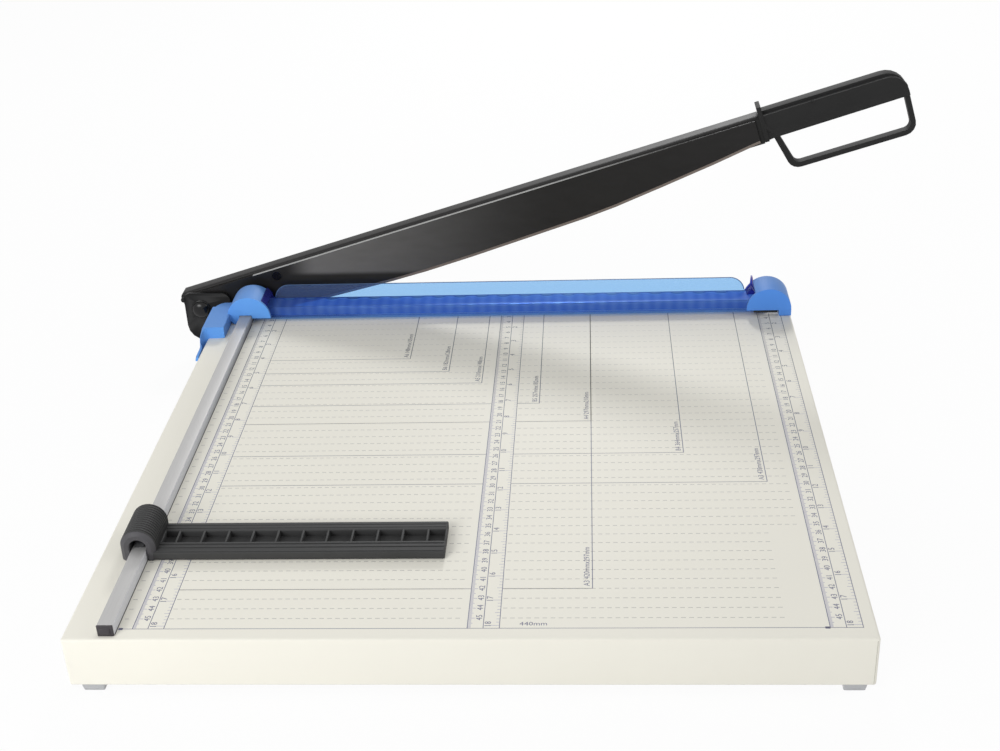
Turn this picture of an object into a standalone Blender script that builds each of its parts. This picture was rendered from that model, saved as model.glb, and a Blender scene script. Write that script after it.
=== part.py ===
"""Guillotine paper cutter, in metres, +Z up, standing on its feet at z = 0.

Places are measured on the bed: x to the right from the zero of its scales, y away from
the operator with the cutting edge at 0, and z up with the bed's top at 0.
The datum empty moves all of that so that the origin is under the middle of the machine.
The arm is modelled level, and its own empty turns it up to its rest angle.
"""

import math

import bmesh
import bpy
from mathutils import Matrix, Vector

# Fits shared by all pieces
GAP = 0.0003  # between faces that touch
HOLE_CLEARANCE = 0.0003  # round a screw's shank or head
OVERRUN = 0.002  # how far a cutter goes past what it cuts
WELD = 0.00001  # points this close are one point when a shape is made
SLIVER = 0.000005  # what a cut leaves thinner than this is closed up
ROUND_STEPS = 24
SMALL_STEPS = 12
CORNER_STEPS = 4

# Bed, a folded sheet that is open below
BED_MARGIN = 0.0305
BED_WIDTH = 0.499
BED_FRONT = -0.473
BED_HEIGHT = 0.034
SHEET = 0.0013
FOLD_RADIUS = 0.0025
FLANGE = 0.022
BED_LEFT = -BED_MARGIN
BED_RIGHT = BED_LEFT + BED_WIDTH

# Fixed knife, whose rear face is the cutting plane, and the bar inside the bed that holds it
KNIFE_THICKNESS = 0.0035
KNIFE_HEIGHT = 0.018
KNIFE_BAR_THICKNESS = 0.005
KNIFE_BAR_BOTTOM_ROOM = 0.003
KNIFE_BAR_END_ROOM = 0.004
KNIFE_SCREW_END_ROOM = 0.0009
KNIFE_SCREW_PLACE_SHARES = (0.05, 0.275, 0.5, 0.725, 0.95)
BED_BACK = -KNIFE_THICKNESS - GAP
KNIFE_SCREW_LENGTH = -BED_BACK + SHEET + GAP + KNIFE_BAR_THICKNESS - KNIFE_SCREW_END_ROOM

# Channels across the underside
STIFFENER_WIDTH = 0.030
STIFFENER_HEIGHT = 0.014
STIFFENER_SHEET = 0.0012
STIFFENER_END_ROOM = 0.016
STIFFENER_PLACE_SHARES = (0.28, 0.72)

# Feet
FOOT_HEIGHT = 0.009
FOOT_TOP_RADIUS = 0.0075
FOOT_BOTTOM_RADIUS = 0.00575
FOOT_INSET = 0.012
FOOT_RECESS_DEPTH = 0.0045
FOOT_SCREW_LENGTH = 0.009

# Screws: a pan head, and a countersunk head that lies under its surface
SCREW_RADIUS = 0.0016
PAN_RADIUS = 0.003
PAN_HEIGHT = 0.0018
PAN_TOP_SHARE = 0.65
SINK_RADIUS = 0.0036
SINK_HEIGHT = 0.002
SINK_DEPTH = 0.0003

# Guard, a clear bar and upright wall in one moulding, lifted by springs
GUARD_TRAVEL = 0.0017
GUARD_BACK = -0.0044
BAR_DEPTH = 0.0215
BAR_HEIGHT = 0.0092
BAR_WALL = 0.002
BAR_RAIL_ROOM = 0.0016
BAR_POCKET_PITCH = 0.019
BAR_RIB = 0.0022
LIP_DEPTH = 0.0046
LIP_HEIGHT = 0.0012
UPRIGHT_THICKNESS = 0.0026
UPRIGHT_RISE = 0.0116
UPRIGHT_CORNER = 0.013
UPRIGHT_END_REACH = 0.0179
PIN_REACH = 0.0079
PIN_RADIUS = 0.0018
PIN_HEAD_RADIUS = 0.0034
PIN_HEAD_HEIGHT = 0.0018
PIN_PROUD = 0.0014
PIN_CLEARANCE = 0.0004
GUARD_SPRING_WIRE = 0.00035
GUARD_SPRING_TURNS = 4
GUARD_SPRING_SEAT = 0.006
SPRING_CLEARANCE = 0.0006
COIL_POINTS = 10
GUARD_BOTTOM = GUARD_TRAVEL + GAP
BAR_FRONT = GUARD_BACK - BAR_DEPTH
LIP_FRONT = BAR_FRONT - LIP_DEPTH
UPRIGHT_FRONT = GUARD_BACK - UPRIGHT_THICKNESS
PIN_Y = (BAR_FRONT + GUARD_BACK) / 2
PIN_TOP = GUARD_BOTTOM + BAR_HEIGHT + PIN_PROUD
GUARD_SPRING_TOP = GUARD_BOTTOM + GUARD_SPRING_SEAT
GUARD_SPRING_RADIUS = PIN_RADIUS + GUARD_SPRING_WIRE + SPRING_CLEARANCE

# Rail of the gauge, a tube with a cap in its front end
RAIL_CENTRE = -0.0035
RAIL_WIDTH = 0.010
RAIL_HEIGHT = 0.0077
RAIL_WALL = 0.0014
RAIL_FRONT_ROOM = 0.0070
RAIL_BACK_ROOM = 0.0011
RAIL_SCREW_ROOM = 0.030
RAIL_SCREW_LENGTH = 0.006
CAP_LENGTH = 0.0012
CAP_PROUD = 0.0002
CAP_PLUG_LENGTH = 0.007

# Blue mouldings that hold the guard
ARCH_RADIUS = 0.0189
ARCH_CENTRE_Z = 0.0063
ARCH_WALL = 0.0022
ARCH_PLATE = 0.0025
ARCH_LIP_ROOM = 0.003
ARCH_FIN_ROOM = 0.0014
ARCH_UNDERSIDE = 0.0056
ARCH_LEG_THICKNESS = 0.0054
ARCH_SHELL_REACH = 0.010
ARCH_RAIL_OFFSET = 0.0031
RAIL_NOTCH_ROOM = 0.0005
COVER_OVERHANG = 0.0035
COVER_OVERLAP = 0.0023
COVER_LENGTH = 0.050
COVER_BACK_STEP = 0.0036
COVER_TOP = 0.0103
COVER_CORNER = 0.010
COVER_EDGE = 0.001
COVER_WALL = 0.0025
COVER_POCKET_ROOM = 0.016
SKIRT_THICKNESS = 0.0056
SKIRT_TOP = 0.0075
SKIRT_HEIGHT = 0.0275
SKIRT_BACK_STEP = 0.012
SKIRT_REACH = 0.009
SKIRT_SLANT = 0.0047
TONGUE_LENGTH = 0.0155
TONGUE_TOP = -0.0012
TONGUE_THICKNESS = 0.0048
TONGUE_SLANT = 0.0015
MOUNT_SCREW_LENGTH = 0.0055
MOUNT_SCREW_ROOM = 0.0055
ARCH_BACK = UPRIGHT_FRONT - ARCH_FIN_ROOM
ARCH_FRONT = LIP_FRONT - ARCH_LIP_ROOM - ARCH_PLATE
ARCH_LEG_REACH = ARCH_RAIL_OFFSET + RAIL_WIDTH / 2 + RAIL_NOTCH_ROOM
LEFT_ARCH_X = RAIL_CENTRE + ARCH_RAIL_OFFSET
RIGHT_ARCH_X = BED_RIGHT - ARCH_RADIUS
BAR_END_REACH = RAIL_WIDTH / 2 - ARCH_RAIL_OFFSET + BAR_RAIL_ROOM
RAIL_FRONT = BED_FRONT + RAIL_FRONT_ROOM
RAIL_BACK = ARCH_BACK - RAIL_BACK_ROOM
COVER_LEFT = BED_LEFT - COVER_OVERHANG
COVER_RIGHT = LEFT_ARCH_X - ARCH_RADIUS + COVER_OVERLAP
COVER_BACK = ARCH_BACK - COVER_BACK_STEP
COVER_FRONT = COVER_BACK - COVER_LENGTH

# Gauge, a head that slides on the rail with an arm in one piece with it
GAUGE_PLACE_SHARE = 0.7522
GAUGE_LENGTH = 0.0352
GAUGE_HEAD_OFFSET = 0.0004
GAUGE_HEAD_WALL = 0.0065
GAUGE_HEAD_RISE = 0.002
GAUGE_BORE_CLEARANCE = 0.0008
GAUGE_GROOVES = 12
GAUGE_GROOVE_DEPTH = 0.0005
GAUGE_GROOVE_SHARE = 0.35
GAUGE_GROOVE_END = 0.0018
GAUGE_ARM_REACH = 0.2039
GAUGE_ARM_STEP = 0.0002
GAUGE_ARM_TOP = 0.0064
POCKET_PITCH = 0.0169
POCKET_RIB = 0.0014
POCKET_END_WALL = 0.0012
POCKET_LAST_RIB_ROOM = 0.0108
POCKET_HEAD_ROOM = 0.0013
POCKET_FRONT_ROOM = 0.0118
POCKET_BACK_ROOM = 0.0111
POCKET_FLOOR = 0.0015
LEAF_THICKNESS = 0.0005
LEAF_WIDTH = 0.006
LEAF_END_ROOM = 0.004
LEAF_TOP_ROOM = 0.0012
GAUGE_BACK = RAIL_BACK - GAUGE_PLACE_SHARE * (RAIL_BACK - RAIL_FRONT)
GAUGE_BORE_RADIUS = RAIL_WIDTH / 2 + GAUGE_BORE_CLEARANCE
GAUGE_HEAD_RADIUS = GAUGE_BORE_RADIUS + GAUGE_HEAD_WALL
GAUGE_HEAD_CENTRE_Z = GAP + RAIL_HEIGHT + GAUGE_HEAD_RISE

# Pivot: bracket, bolt, washers, spring and nut
PIVOT_REACH = 0.0205
PIVOT_Z = 0.0
BRACKET_EAR_REACH = 0.0147
BRACKET_EAR_OVERLAP = 0.0062
BRACKET_TOP = 0.0148
BRACKET_BOTTOM_ROOM = 0.003
BRACKET_STRIP_LENGTH = 0.0905
BRACKET_KNIFE_ROOM = 0.0006
BRACKET_TOP_CORNER = 0.005
BRACKET_EDGE_CORNER = 0.003
BRACKET_BOTTOM_CORNER = 0.015
BRACKET_SCREW_PLACE_SHARES = (0.24, 0.58, 0.92)
BOLT_RADIUS = 0.004
BOLT_HEAD_RADIUS = 0.0073
BOLT_HEAD_HEIGHT = 0.0045
BOLT_RIM_HEIGHT = 0.0012
BOLT_PROUD = 0.0006
BOLT_CLEARANCE = 0.0003
WASHER_THICKNESS = 0.0012
WASHER_RADIUS = 0.0075
PIVOT_SPRING_LENGTH = 0.0072
PIVOT_SPRING_WIRE = 0.0007
PIVOT_SPRING_CLEARANCE = 0.0008
PIVOT_SPRING_TURNS = 3
NUT_THICKNESS = 0.004
PIVOT_X = BED_LEFT - PIVOT_REACH
PIVOT_SPRING_RADIUS = BOLT_RADIUS + PIVOT_SPRING_WIRE + PIVOT_SPRING_CLEARANCE
BRACKET_LEFT = PIVOT_X - BRACKET_EAR_REACH
BRACKET_EAR_RIGHT = BED_LEFT + BRACKET_EAR_OVERLAP
BRACKET_RIGHT = BED_LEFT + BRACKET_STRIP_LENGTH
BRACKET_STRIP_TOP = -KNIFE_HEIGHT - BRACKET_KNIFE_ROOM
BRACKET_BOTTOM = BRACKET_BOTTOM_ROOM - BED_HEIGHT
KNIFE_LEFT = BRACKET_EAR_RIGHT + BRACKET_KNIFE_ROOM

# Arm, measured along itself from the pivot
ARM_REST_ANGLE = 16.8
ARM_BACK = 0.017
BLADE_THICKNESS = 0.0025
BLADE_TOP = 0.0125
BLADE_END_ROOM = 0.0075
BLADE_DEPTH = 0.0292
BLADE_EDGE_SHARES = (
    (0.080, 0.72),
    (0.221, 0.90),
    (0.338, 0.985),
    (0.400, 1.0),
    (0.484, 0.973),
    (0.602, 0.897),
    (0.688, 0.846),
    (0.745, 0.774),
    (0.830, 0.599),
    (0.916, 0.408),
    (0.996, 0.199),
)
SPINE_SHEET = 0.0025
SPINE_RISE = 0.0035
SPINE_TAIL = 0.017
SPINE_TAIL_CORNER = 0.005
SPINE_END_STEP = 0.0005
SPINE_LIP_CLEARANCE = 0.0005
WEB_BOTTOM = -0.008
WEB_PIVOT_RADIUS = 0.0135
PLATE_STEP = 0.0002  # how far plates that are welded to the web stay under its faces
TANG_BOTTOM = 0.0
TANG_TOP = 0.0118
TANG_LENGTH = 0.0885
BLADE_SCREW_RADIUS = 0.002
BLADE_SCREW_SINK_RADIUS = 0.004
BLADE_SCREW_Z = 0.0
BLADE_SCREW_FIRST_X = 0.0764
BLADE_SCREW_FIRST_Z = 0.0075
BLADE_SCREW_PLACE_SHARES = (0.36, 0.62, 0.88)
BLADE_SCREW_BITE = 0.0016
BLADE_RIGHT = BED_RIGHT - PIVOT_X - BLADE_END_ROOM
SPINE_TOP = BLADE_TOP + SPINE_RISE
SPINE_RIGHT = BLADE_RIGHT - SPINE_END_STEP
TANG_RIGHT = SPINE_RIGHT + TANG_LENGTH

# Handle, moulded over the end of the spine
HANDLE_FRONT = 0.0018
HANDLE_RISE = 0.0025
HANDLE_STEP = 0.0024
HANDLE_STEP_Y = 0.007
HANDLE_BOTTOM = -0.004
HANDLE_LEFT_BOTTOM = -0.0055
HANDLE_LENGTH = 0.1254
HANDLE_END_RADIUS = 0.0185
NECK_DROP = 0.0015
LOOP_FRONT = 0.005
LOOP_DEPTH = 0.0085
LOOP_BAND = 0.0043
LOOP_BOTTOM = -0.038
LOOP_BED_ROOM = 0.004
LOOP_SLANT = 0.010
LOOP_CORNER = 0.010
COLLAR_ROOM = 0.0038
COLLAR_WIDTH = 0.0037
COLLAR_RISE = 0.0062
COLLAR_FRONT = 0.0006
HANDLE_SCREW_PLACE_SHARES = (0.35, 0.85)
HANDLE_SCREW_SINK = 0.0027
HANDLE_TOP = SPINE_TOP + HANDLE_RISE
HANDLE_RIGHT = BLADE_RIGHT + HANDLE_LENGTH
NECK_TOP = SPINE_TOP - NECK_DROP
LOOP_LEFT_TOP = BED_RIGHT - PIVOT_X + LOOP_BED_ROOM
LOOP_LEFT_BOTTOM = LOOP_LEFT_TOP + LOOP_SLANT
COLLAR_LEFT = BLADE_RIGHT + COLLAR_ROOM

# Depths along y of what turns with the arm, and of what is stacked behind it on the bolt
BLADE_FRONT = GAP
WEB_FRONT = BLADE_FRONT + BLADE_THICKNESS + GAP
WEB_BACK = WEB_FRONT + SPINE_SHEET
INNER_WASHER_Y = WEB_BACK + GAP
PIVOT_SPRING_Y = INNER_WASHER_Y + WASHER_THICKNESS + GAP
OUTER_WASHER_Y = PIVOT_SPRING_Y + PIVOT_SPRING_LENGTH + GAP
NUT_Y = OUTER_WASHER_Y + WASHER_THICKNESS + GAP
BOLT_END = NUT_Y + NUT_THICKNESS + BOLT_PROUD

# Where the origin is, under the middle of the machine
REST_COS = math.cos(math.radians(ARM_REST_ANGLE))
REST_SIN = math.sin(math.radians(ARM_REST_ANGLE))
LEFTMOST = (
    PIVOT_X
    - (SPINE_TAIL - SPINE_TAIL_CORNER) * REST_COS
    - (SPINE_TOP - SPINE_TAIL_CORNER) * REST_SIN
    - SPINE_TAIL_CORNER
)
RIGHTMOST = (
    PIVOT_X
    + (HANDLE_RIGHT - LOOP_CORNER) * REST_COS
    - (LOOP_BOTTOM + LOOP_CORNER) * REST_SIN
    + LOOP_CORNER
)
DATUM = (
    -(LEFTMOST + RIGHTMOST) / 2,
    -(BED_FRONT + BOLT_END) / 2,
    BED_HEIGHT + FOOT_HEIGHT,
)

# Turns that point a screw or a drill, which point down before they are turned
DOWN = (0, 0, 0)
UP = (math.pi, 0, 0)
FORWARD = (-math.pi / 2, 0, 0)
BACKWARD = (math.pi / 2, 0, 0)

# How a flat outline stands: seen from the front, from the right side, or lying flat
FACING_FRONT = Matrix(((1, 0, 0, 0), (0, 0, -1, 0), (0, 1, 0, 0), (0, 0, 0, 1)))
FACING_SIDE = Matrix(((0, 0, 1, 0), (1, 0, 0, 0), (0, 1, 0, 0), (0, 0, 0, 1)))
LYING = Matrix.Identity(4)


def start_scene():
    """Empties the scene, and makes a collection for the parts and one for the cutters."""
    for old in list(bpy.data.objects):
        bpy.data.objects.remove(old, do_unlink=True)
    found = []
    for name in ("paper_cutter", "cutters"):
        collection = bpy.data.collections.new(name)
        bpy.context.scene.collection.children.link(collection)
        found.append(collection)
    return found


PARTS, CUTTERS = start_scene()


def finish(name, colour, roughness, metallic=0.0, transmission=0.0):
    """A plain material for one kind of surface."""
    made = bpy.data.materials.new(name)
    made.use_nodes = True
    made.diffuse_color = (*colour, 1)
    shader = made.node_tree.nodes["Principled BSDF"]
    shader.inputs["Base Color"].default_value = (*colour, 1)
    shader.inputs["Roughness"].default_value = roughness
    shader.inputs["Metallic"].default_value = metallic
    shader.inputs["Transmission Weight"].default_value = transmission
    return made


CREAM_PAINT = finish("cream_paint", (0.80, 0.77, 0.67), 0.45)
BARE_STEEL = finish("bare_steel", (0.60, 0.60, 0.62), 0.35, 1.0)
GROUND_STEEL = finish("ground_steel", (0.70, 0.70, 0.72), 0.25, 1.0)
BLACK_PAINT = finish("black_paint", (0.02, 0.02, 0.02), 0.4)
BLACK_STEEL = finish("black_steel", (0.02, 0.02, 0.02), 0.35, 0.6)
RAIL_METAL = finish("rail_aluminium", (0.62, 0.62, 0.63), 0.35, 1.0)
BLUE_PLASTIC = finish("blue_plastic", (0.06, 0.24, 0.75), 0.35)
CLEAR_BLUE = finish("clear_blue_plastic", (0.10, 0.35, 0.85), 0.1, 0.0, 0.8)
BLACK_PLASTIC = finish("black_plastic", (0.03, 0.03, 0.03), 0.5)
GREY_FOOT = finish("foot_plastic", (0.35, 0.35, 0.36), 0.4)


def empty(name, parent, place):
    """A frame that pieces are placed in."""
    made = bpy.data.objects.new(name, None)
    made.parent = parent
    made.location = place
    PARTS.objects.link(made)
    return made


DATUM_FRAME = empty("datum", None, DATUM)
ARM_FRAME = empty("arm_pivot", DATUM_FRAME, (PIVOT_X, 0, PIVOT_Z))
GAUGE_FRAME = empty("gauge_slide", DATUM_FRAME, (RAIL_CENTRE, GAUGE_BACK, 0))
GUARD_FRAME = empty("guard_slide", DATUM_FRAME, (LEFT_ARCH_X, 0, GUARD_BOTTOM))


def add(name, mesh, parent, surface, place=(0, 0, 0), turn=(0, 0, 0)):
    """Places a mesh. Without a surface it is a cutter, which no render shows."""
    made = bpy.data.objects.new(name, mesh)
    made.parent = parent
    made.location = place
    made.rotation_euler = turn
    if surface is None:
        made.hide_render = True
        made.display_type = "WIRE"
        CUTTERS.objects.link(made)
    else:
        mesh.materials.append(surface)
        PARTS.objects.link(made)
    return made


def box(name, parent, surface, low, high):
    """A box between two corners, with its origin in its middle."""
    mesh = bpy.data.meshes.new(name)
    shape = bmesh.new()
    bmesh.ops.create_cube(shape, size=1)
    sides = [top - bottom for bottom, top in zip(low, high)]
    bmesh.ops.scale(shape, vec=sides, verts=shape.verts)
    shape.to_mesh(mesh)
    shape.free()
    middle = [(top + bottom) / 2 for bottom, top in zip(low, high)]
    return add(name, mesh, parent, surface, middle)


def smooth(mesh):
    mesh.shade_smooth()
    mesh.set_sharp_from_angle(angle=math.radians(35))


def cylinder(name, parent, surface, place, turn, length, radius, steps=SMALL_STEPS):
    """A cylinder that starts at its place and runs the way it points."""
    mesh = bpy.data.meshes.new(name)
    shape = bmesh.new()
    bmesh.ops.create_cone(
        shape, cap_ends=True, segments=steps, radius1=radius, radius2=radius, depth=length
    )
    bmesh.ops.translate(shape, vec=(0, 0, -length / 2), verts=shape.verts)
    shape.to_mesh(mesh)
    shape.free()
    smooth(mesh)
    return add(name, mesh, parent, surface, place, turn)


def turned(name, parent, surface, profile, place, turn, steps=SMALL_STEPS, ring=False):
    """A turned shape. Its profile runs down the outer side, and a ring's closes up the bore."""
    mesh = bpy.data.meshes.new(name)
    count = len(profile)
    edges = [(i, (i + 1) % count) for i in range(count if ring else count - 1)]
    mesh.from_pydata([(radius, 0, z) for radius, z in profile], edges, [])
    made = add(name, mesh, parent, surface, place, turn)
    screw = made.modifiers.new("turn", "SCREW")
    screw.steps = screw.render_steps = steps
    screw.use_merge_vertices = True
    screw.merge_threshold = WELD
    screw.use_smooth_shade = False
    return made


def flat(name, parent, surface, outlines, thickness, place, facing):
    """A plate from closed outlines, the first its edge and the rest its holes.

    Its thickness is centred on its place.
    """
    curve = bpy.data.curves.new(name, "CURVE")
    curve.dimensions = "2D"
    curve.fill_mode = "BOTH"
    curve.extrude = thickness / 2
    for outline in outlines:
        spline = curve.splines.new("POLY")
        spline.points.add(len(outline) - 1)
        for point, (x, y) in zip(spline.points, outline):
            point.co = (x, y, 0, 1)
        spline.use_cyclic_u = True
    drawn = bpy.data.objects.new(name + "_outline", curve)
    CUTTERS.objects.link(drawn)
    graph = bpy.context.evaluated_depsgraph_get()
    mesh = bpy.data.meshes.new_from_object(drawn.evaluated_get(graph))
    bpy.data.objects.remove(drawn)
    bpy.data.curves.remove(curve)
    shape = bmesh.new()
    shape.from_mesh(mesh)
    bmesh.ops.remove_doubles(shape, verts=shape.verts, dist=WELD)
    bmesh.ops.transform(shape, matrix=facing, verts=shape.verts)
    bmesh.ops.recalc_face_normals(shape, faces=shape.faces)
    shape.to_mesh(mesh)
    shape.free()
    mesh.name = name
    smooth(mesh)
    return add(name, mesh, parent, surface, place)


def arc(centre, radius, start, end, steps=ROUND_STEPS):
    """Points of an arc between two angles in degrees."""
    angles = [math.radians(start + (end - start) * i / steps) for i in range(steps + 1)]
    return [
        (centre[0] + radius * math.cos(angle), centre[1] + radius * math.sin(angle))
        for angle in angles
    ]


def rounded(corners, steps=CORNER_STEPS):
    """The outline through corners of (x, y, radius), each rounded with its radius."""
    points = []
    for i, (x, y, radius) in enumerate(corners):
        here = Vector((x, y))
        if not radius:
            points.append((x, y))
            continue
        back = (Vector(corners[i - 1][:2]) - here).normalized()
        ahead = (Vector(corners[(i + 1) % len(corners)][:2]) - here).normalized()
        half = back.angle(ahead) / 2
        centre = here + (back + ahead).normalized() * radius / math.sin(half)
        first = here + back * radius / math.tan(half) - centre
        last = here + ahead * radius / math.tan(half) - centre
        start = math.atan2(first.y, first.x)
        turn = (math.atan2(last.y, last.x) - start + math.pi) % math.tau - math.pi
        points += arc(centre, radius, math.degrees(start), math.degrees(start + turn), steps)
    return points


def combine(piece, operation, others):
    for other in others:
        change = piece.modifiers.new(other.name, "BOOLEAN")
        change.operation = operation
        change.object = other
    return piece


def cut(piece, *tools):
    return combine(piece, "DIFFERENCE", tools)


def fuse(piece, *others):
    return combine(piece, "UNION", others)


def soften(piece, width, segments=2):
    edge = piece.modifiers.new("edges", "BEVEL")
    edge.width = width
    edge.segments = segments
    edge.limit_method = "ANGLE"
    edge.angle_limit = math.radians(40)
    return piece


def pan_screw(name, parent, surface, place, turn, length, pieces, radius=SCREW_RADIUS):
    """A pan-head screw whose head bears at its place, and its hole in each of the pieces."""
    profile = [
        (0, PAN_HEIGHT),
        (PAN_RADIUS * PAN_TOP_SHARE, PAN_HEIGHT),
        (PAN_RADIUS, PAN_HEIGHT / 2),
        (PAN_RADIUS, 0),
        (radius, 0),
        (radius, -length),
        (0, -length),
    ]
    turned(name, parent, surface, profile, place, turn)
    hole = turned(
        name + "_hole",
        parent,
        None,
        [
            (0, OVERRUN),
            (radius + HOLE_CLEARANCE, OVERRUN),
            (radius + HOLE_CLEARANCE, -length - HOLE_CLEARANCE),
            (0, -length - HOLE_CLEARANCE),
        ],
        place,
        turn,
    )
    for piece in pieces:
        cut(piece, hole)


def sunk_screw(name, parent, surface, place, turn, length, pieces, radius, sink_radius):
    """A countersunk screw just under the surface at its place, and its hole in the pieces."""
    wide = sink_radius + HOLE_CLEARANCE
    narrow = radius + HOLE_CLEARANCE
    profile = [
        (0, -SINK_DEPTH),
        (sink_radius, -SINK_DEPTH),
        (radius, -SINK_DEPTH - SINK_HEIGHT),
        (radius, -length),
        (0, -length),
    ]
    hole_profile = [
        (0, OVERRUN),
        (wide, OVERRUN),
        (wide, -SINK_DEPTH - HOLE_CLEARANCE),
        (narrow, -SINK_DEPTH - SINK_HEIGHT - HOLE_CLEARANCE),
        (narrow, -length - HOLE_CLEARANCE),
        (0, -length - HOLE_CLEARANCE),
    ]
    turned(name, parent, surface, profile, place, turn)
    hole = turned(name + "_hole", parent, None, hole_profile, place, turn)
    for piece in pieces:
        cut(piece, hole)


def coil(name, parent, surface, place, turn, length, radius, wire, turns):
    """A compression spring along the way that it points."""
    curve = bpy.data.curves.new(name, "CURVE")
    curve.dimensions = "3D"
    curve.bevel_depth = wire
    curve.bevel_resolution = 1
    curve.use_fill_caps = True
    spline = curve.splines.new("POLY")
    count = turns * COIL_POINTS
    route = []
    for i in range(count + 1):
        angle = math.tau * i / COIL_POINTS
        rise = wire + (length - 2 * wire) * i / count
        route.append(Vector((radius * math.cos(angle), radius * math.sin(angle), -rise)))
    spline.points.add(count)
    for point, here in zip(spline.points, route):
        point.co = (*here, 1)
    apart = [
        (here - there).length
        for i, here in enumerate(route)
        for there in route[i + COIL_POINTS // 2 :]
    ]
    print(f"{name}: least gap to itself {1000 * (min(apart) - 2 * wire):.2f} mm")
    made = bpy.data.objects.new(name, curve)
    made.parent = parent
    made.location = place
    made.rotation_euler = turn
    curve.materials.append(surface)
    PARTS.objects.link(made)
    return made


def base_tray():
    """The folded sheet: its walls, and a flange turned in along their lower edges."""
    tray = box(
        "base_tray",
        DATUM_FRAME,
        CREAM_PAINT,
        (BED_LEFT, BED_FRONT, -BED_HEIGHT),
        (BED_RIGHT, BED_BACK, 0),
    )
    soften(tray, FOLD_RADIUS)
    hollow = box(
        "tray_hollow",
        DATUM_FRAME,
        None,
        (BED_LEFT + SHEET, BED_FRONT + SHEET, SHEET - BED_HEIGHT),
        (BED_RIGHT - SHEET, BED_BACK - SHEET, -SHEET),
    )
    mouth = box(
        "tray_mouth",
        DATUM_FRAME,
        None,
        (BED_LEFT + FLANGE, BED_FRONT + FLANGE, -BED_HEIGHT - OVERRUN),
        (BED_RIGHT - FLANGE, BED_BACK - FLANGE, OVERRUN - BED_HEIGHT),
    )
    return cut(tray, hollow, mouth)


def stiffeners():
    """Channels that are spot-welded across the underside."""
    top = -SHEET - GAP
    half = STIFFENER_WIDTH / 2
    inner = half - STIFFENER_SHEET
    front = BED_FRONT + STIFFENER_END_ROOM
    back = BED_BACK - STIFFENER_END_ROOM
    outline = [
        (-half, top),
        (half, top),
        (half, top - STIFFENER_HEIGHT),
        (inner, top - STIFFENER_HEIGHT),
        (inner, top - STIFFENER_SHEET),
        (-inner, top - STIFFENER_SHEET),
        (-inner, top - STIFFENER_HEIGHT),
        (-half, top - STIFFENER_HEIGHT),
    ]
    for side, share in zip(("left", "right"), STIFFENER_PLACE_SHARES):
        flat(
            f"stiffener_{side}",
            DATUM_FRAME,
            BARE_STEEL,
            [outline],
            back - front,
            (BED_LEFT + share * BED_WIDTH, (front + back) / 2, 0),
            FACING_FRONT,
        )


def knife_and_bar(tray):
    """The fixed knife on the rear wall, the bar behind it, and the screws through all three."""
    knife = box(
        "fixed_knife",
        DATUM_FRAME,
        GROUND_STEEL,
        (KNIFE_LEFT, -KNIFE_THICKNESS, -KNIFE_HEIGHT),
        (BED_RIGHT, 0, 0),
    )
    bar_back = BED_BACK - SHEET - GAP
    bar = box(
        "knife_bar",
        DATUM_FRAME,
        BARE_STEEL,
        (
            BED_LEFT + KNIFE_BAR_END_ROOM,
            bar_back - KNIFE_BAR_THICKNESS,
            SHEET + KNIFE_BAR_BOTTOM_ROOM - BED_HEIGHT,
        ),
        (BED_RIGHT - KNIFE_BAR_END_ROOM, bar_back, -SHEET - GAP),
    )
    for i, share in enumerate(KNIFE_SCREW_PLACE_SHARES):
        sunk_screw(
            f"knife_screw_{i + 1}",
            DATUM_FRAME,
            BLACK_STEEL,
            (KNIFE_LEFT + share * (BED_RIGHT - KNIFE_LEFT), 0, -KNIFE_HEIGHT / 2),
            FORWARD,
            KNIFE_SCREW_LENGTH,
            (knife, tray, bar),
            SCREW_RADIUS,
            SINK_RADIUS,
        )
    return bar


def feet(tray):
    top = -BED_HEIGHT - GAP
    height = FOOT_HEIGHT - GAP
    bore = SCREW_RADIUS + HOLE_CLEARANCE
    recess = PAN_RADIUS + HOLE_CLEARANCE
    profile = [
        (FOOT_TOP_RADIUS, 0),
        (FOOT_BOTTOM_RADIUS, -height),
        (recess, -height),
        (recess, -height + FOOT_RECESS_DEPTH),
        (bore, -height + FOOT_RECESS_DEPTH),
        (bore, 0),
    ]
    xs = (BED_LEFT + FOOT_INSET, BED_RIGHT - FOOT_INSET)
    ys = (BED_FRONT + FOOT_INSET, BED_BACK - FOOT_INSET)
    places = [(x, y) for y in ys for x in xs]
    for i, (x, y) in enumerate(places):
        turned(
            f"foot_{i + 1}",
            DATUM_FRAME,
            GREY_FOOT,
            profile,
            (x, y, top),
            DOWN,
            ROUND_STEPS,
            ring=True,
        )
        pan_screw(
            f"foot_screw_{i + 1}",
            DATUM_FRAME,
            BARE_STEEL,
            (x, y, top - height + FOOT_RECESS_DEPTH - GAP),
            UP,
            FOOT_SCREW_LENGTH,
            (tray,),
        )


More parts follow.
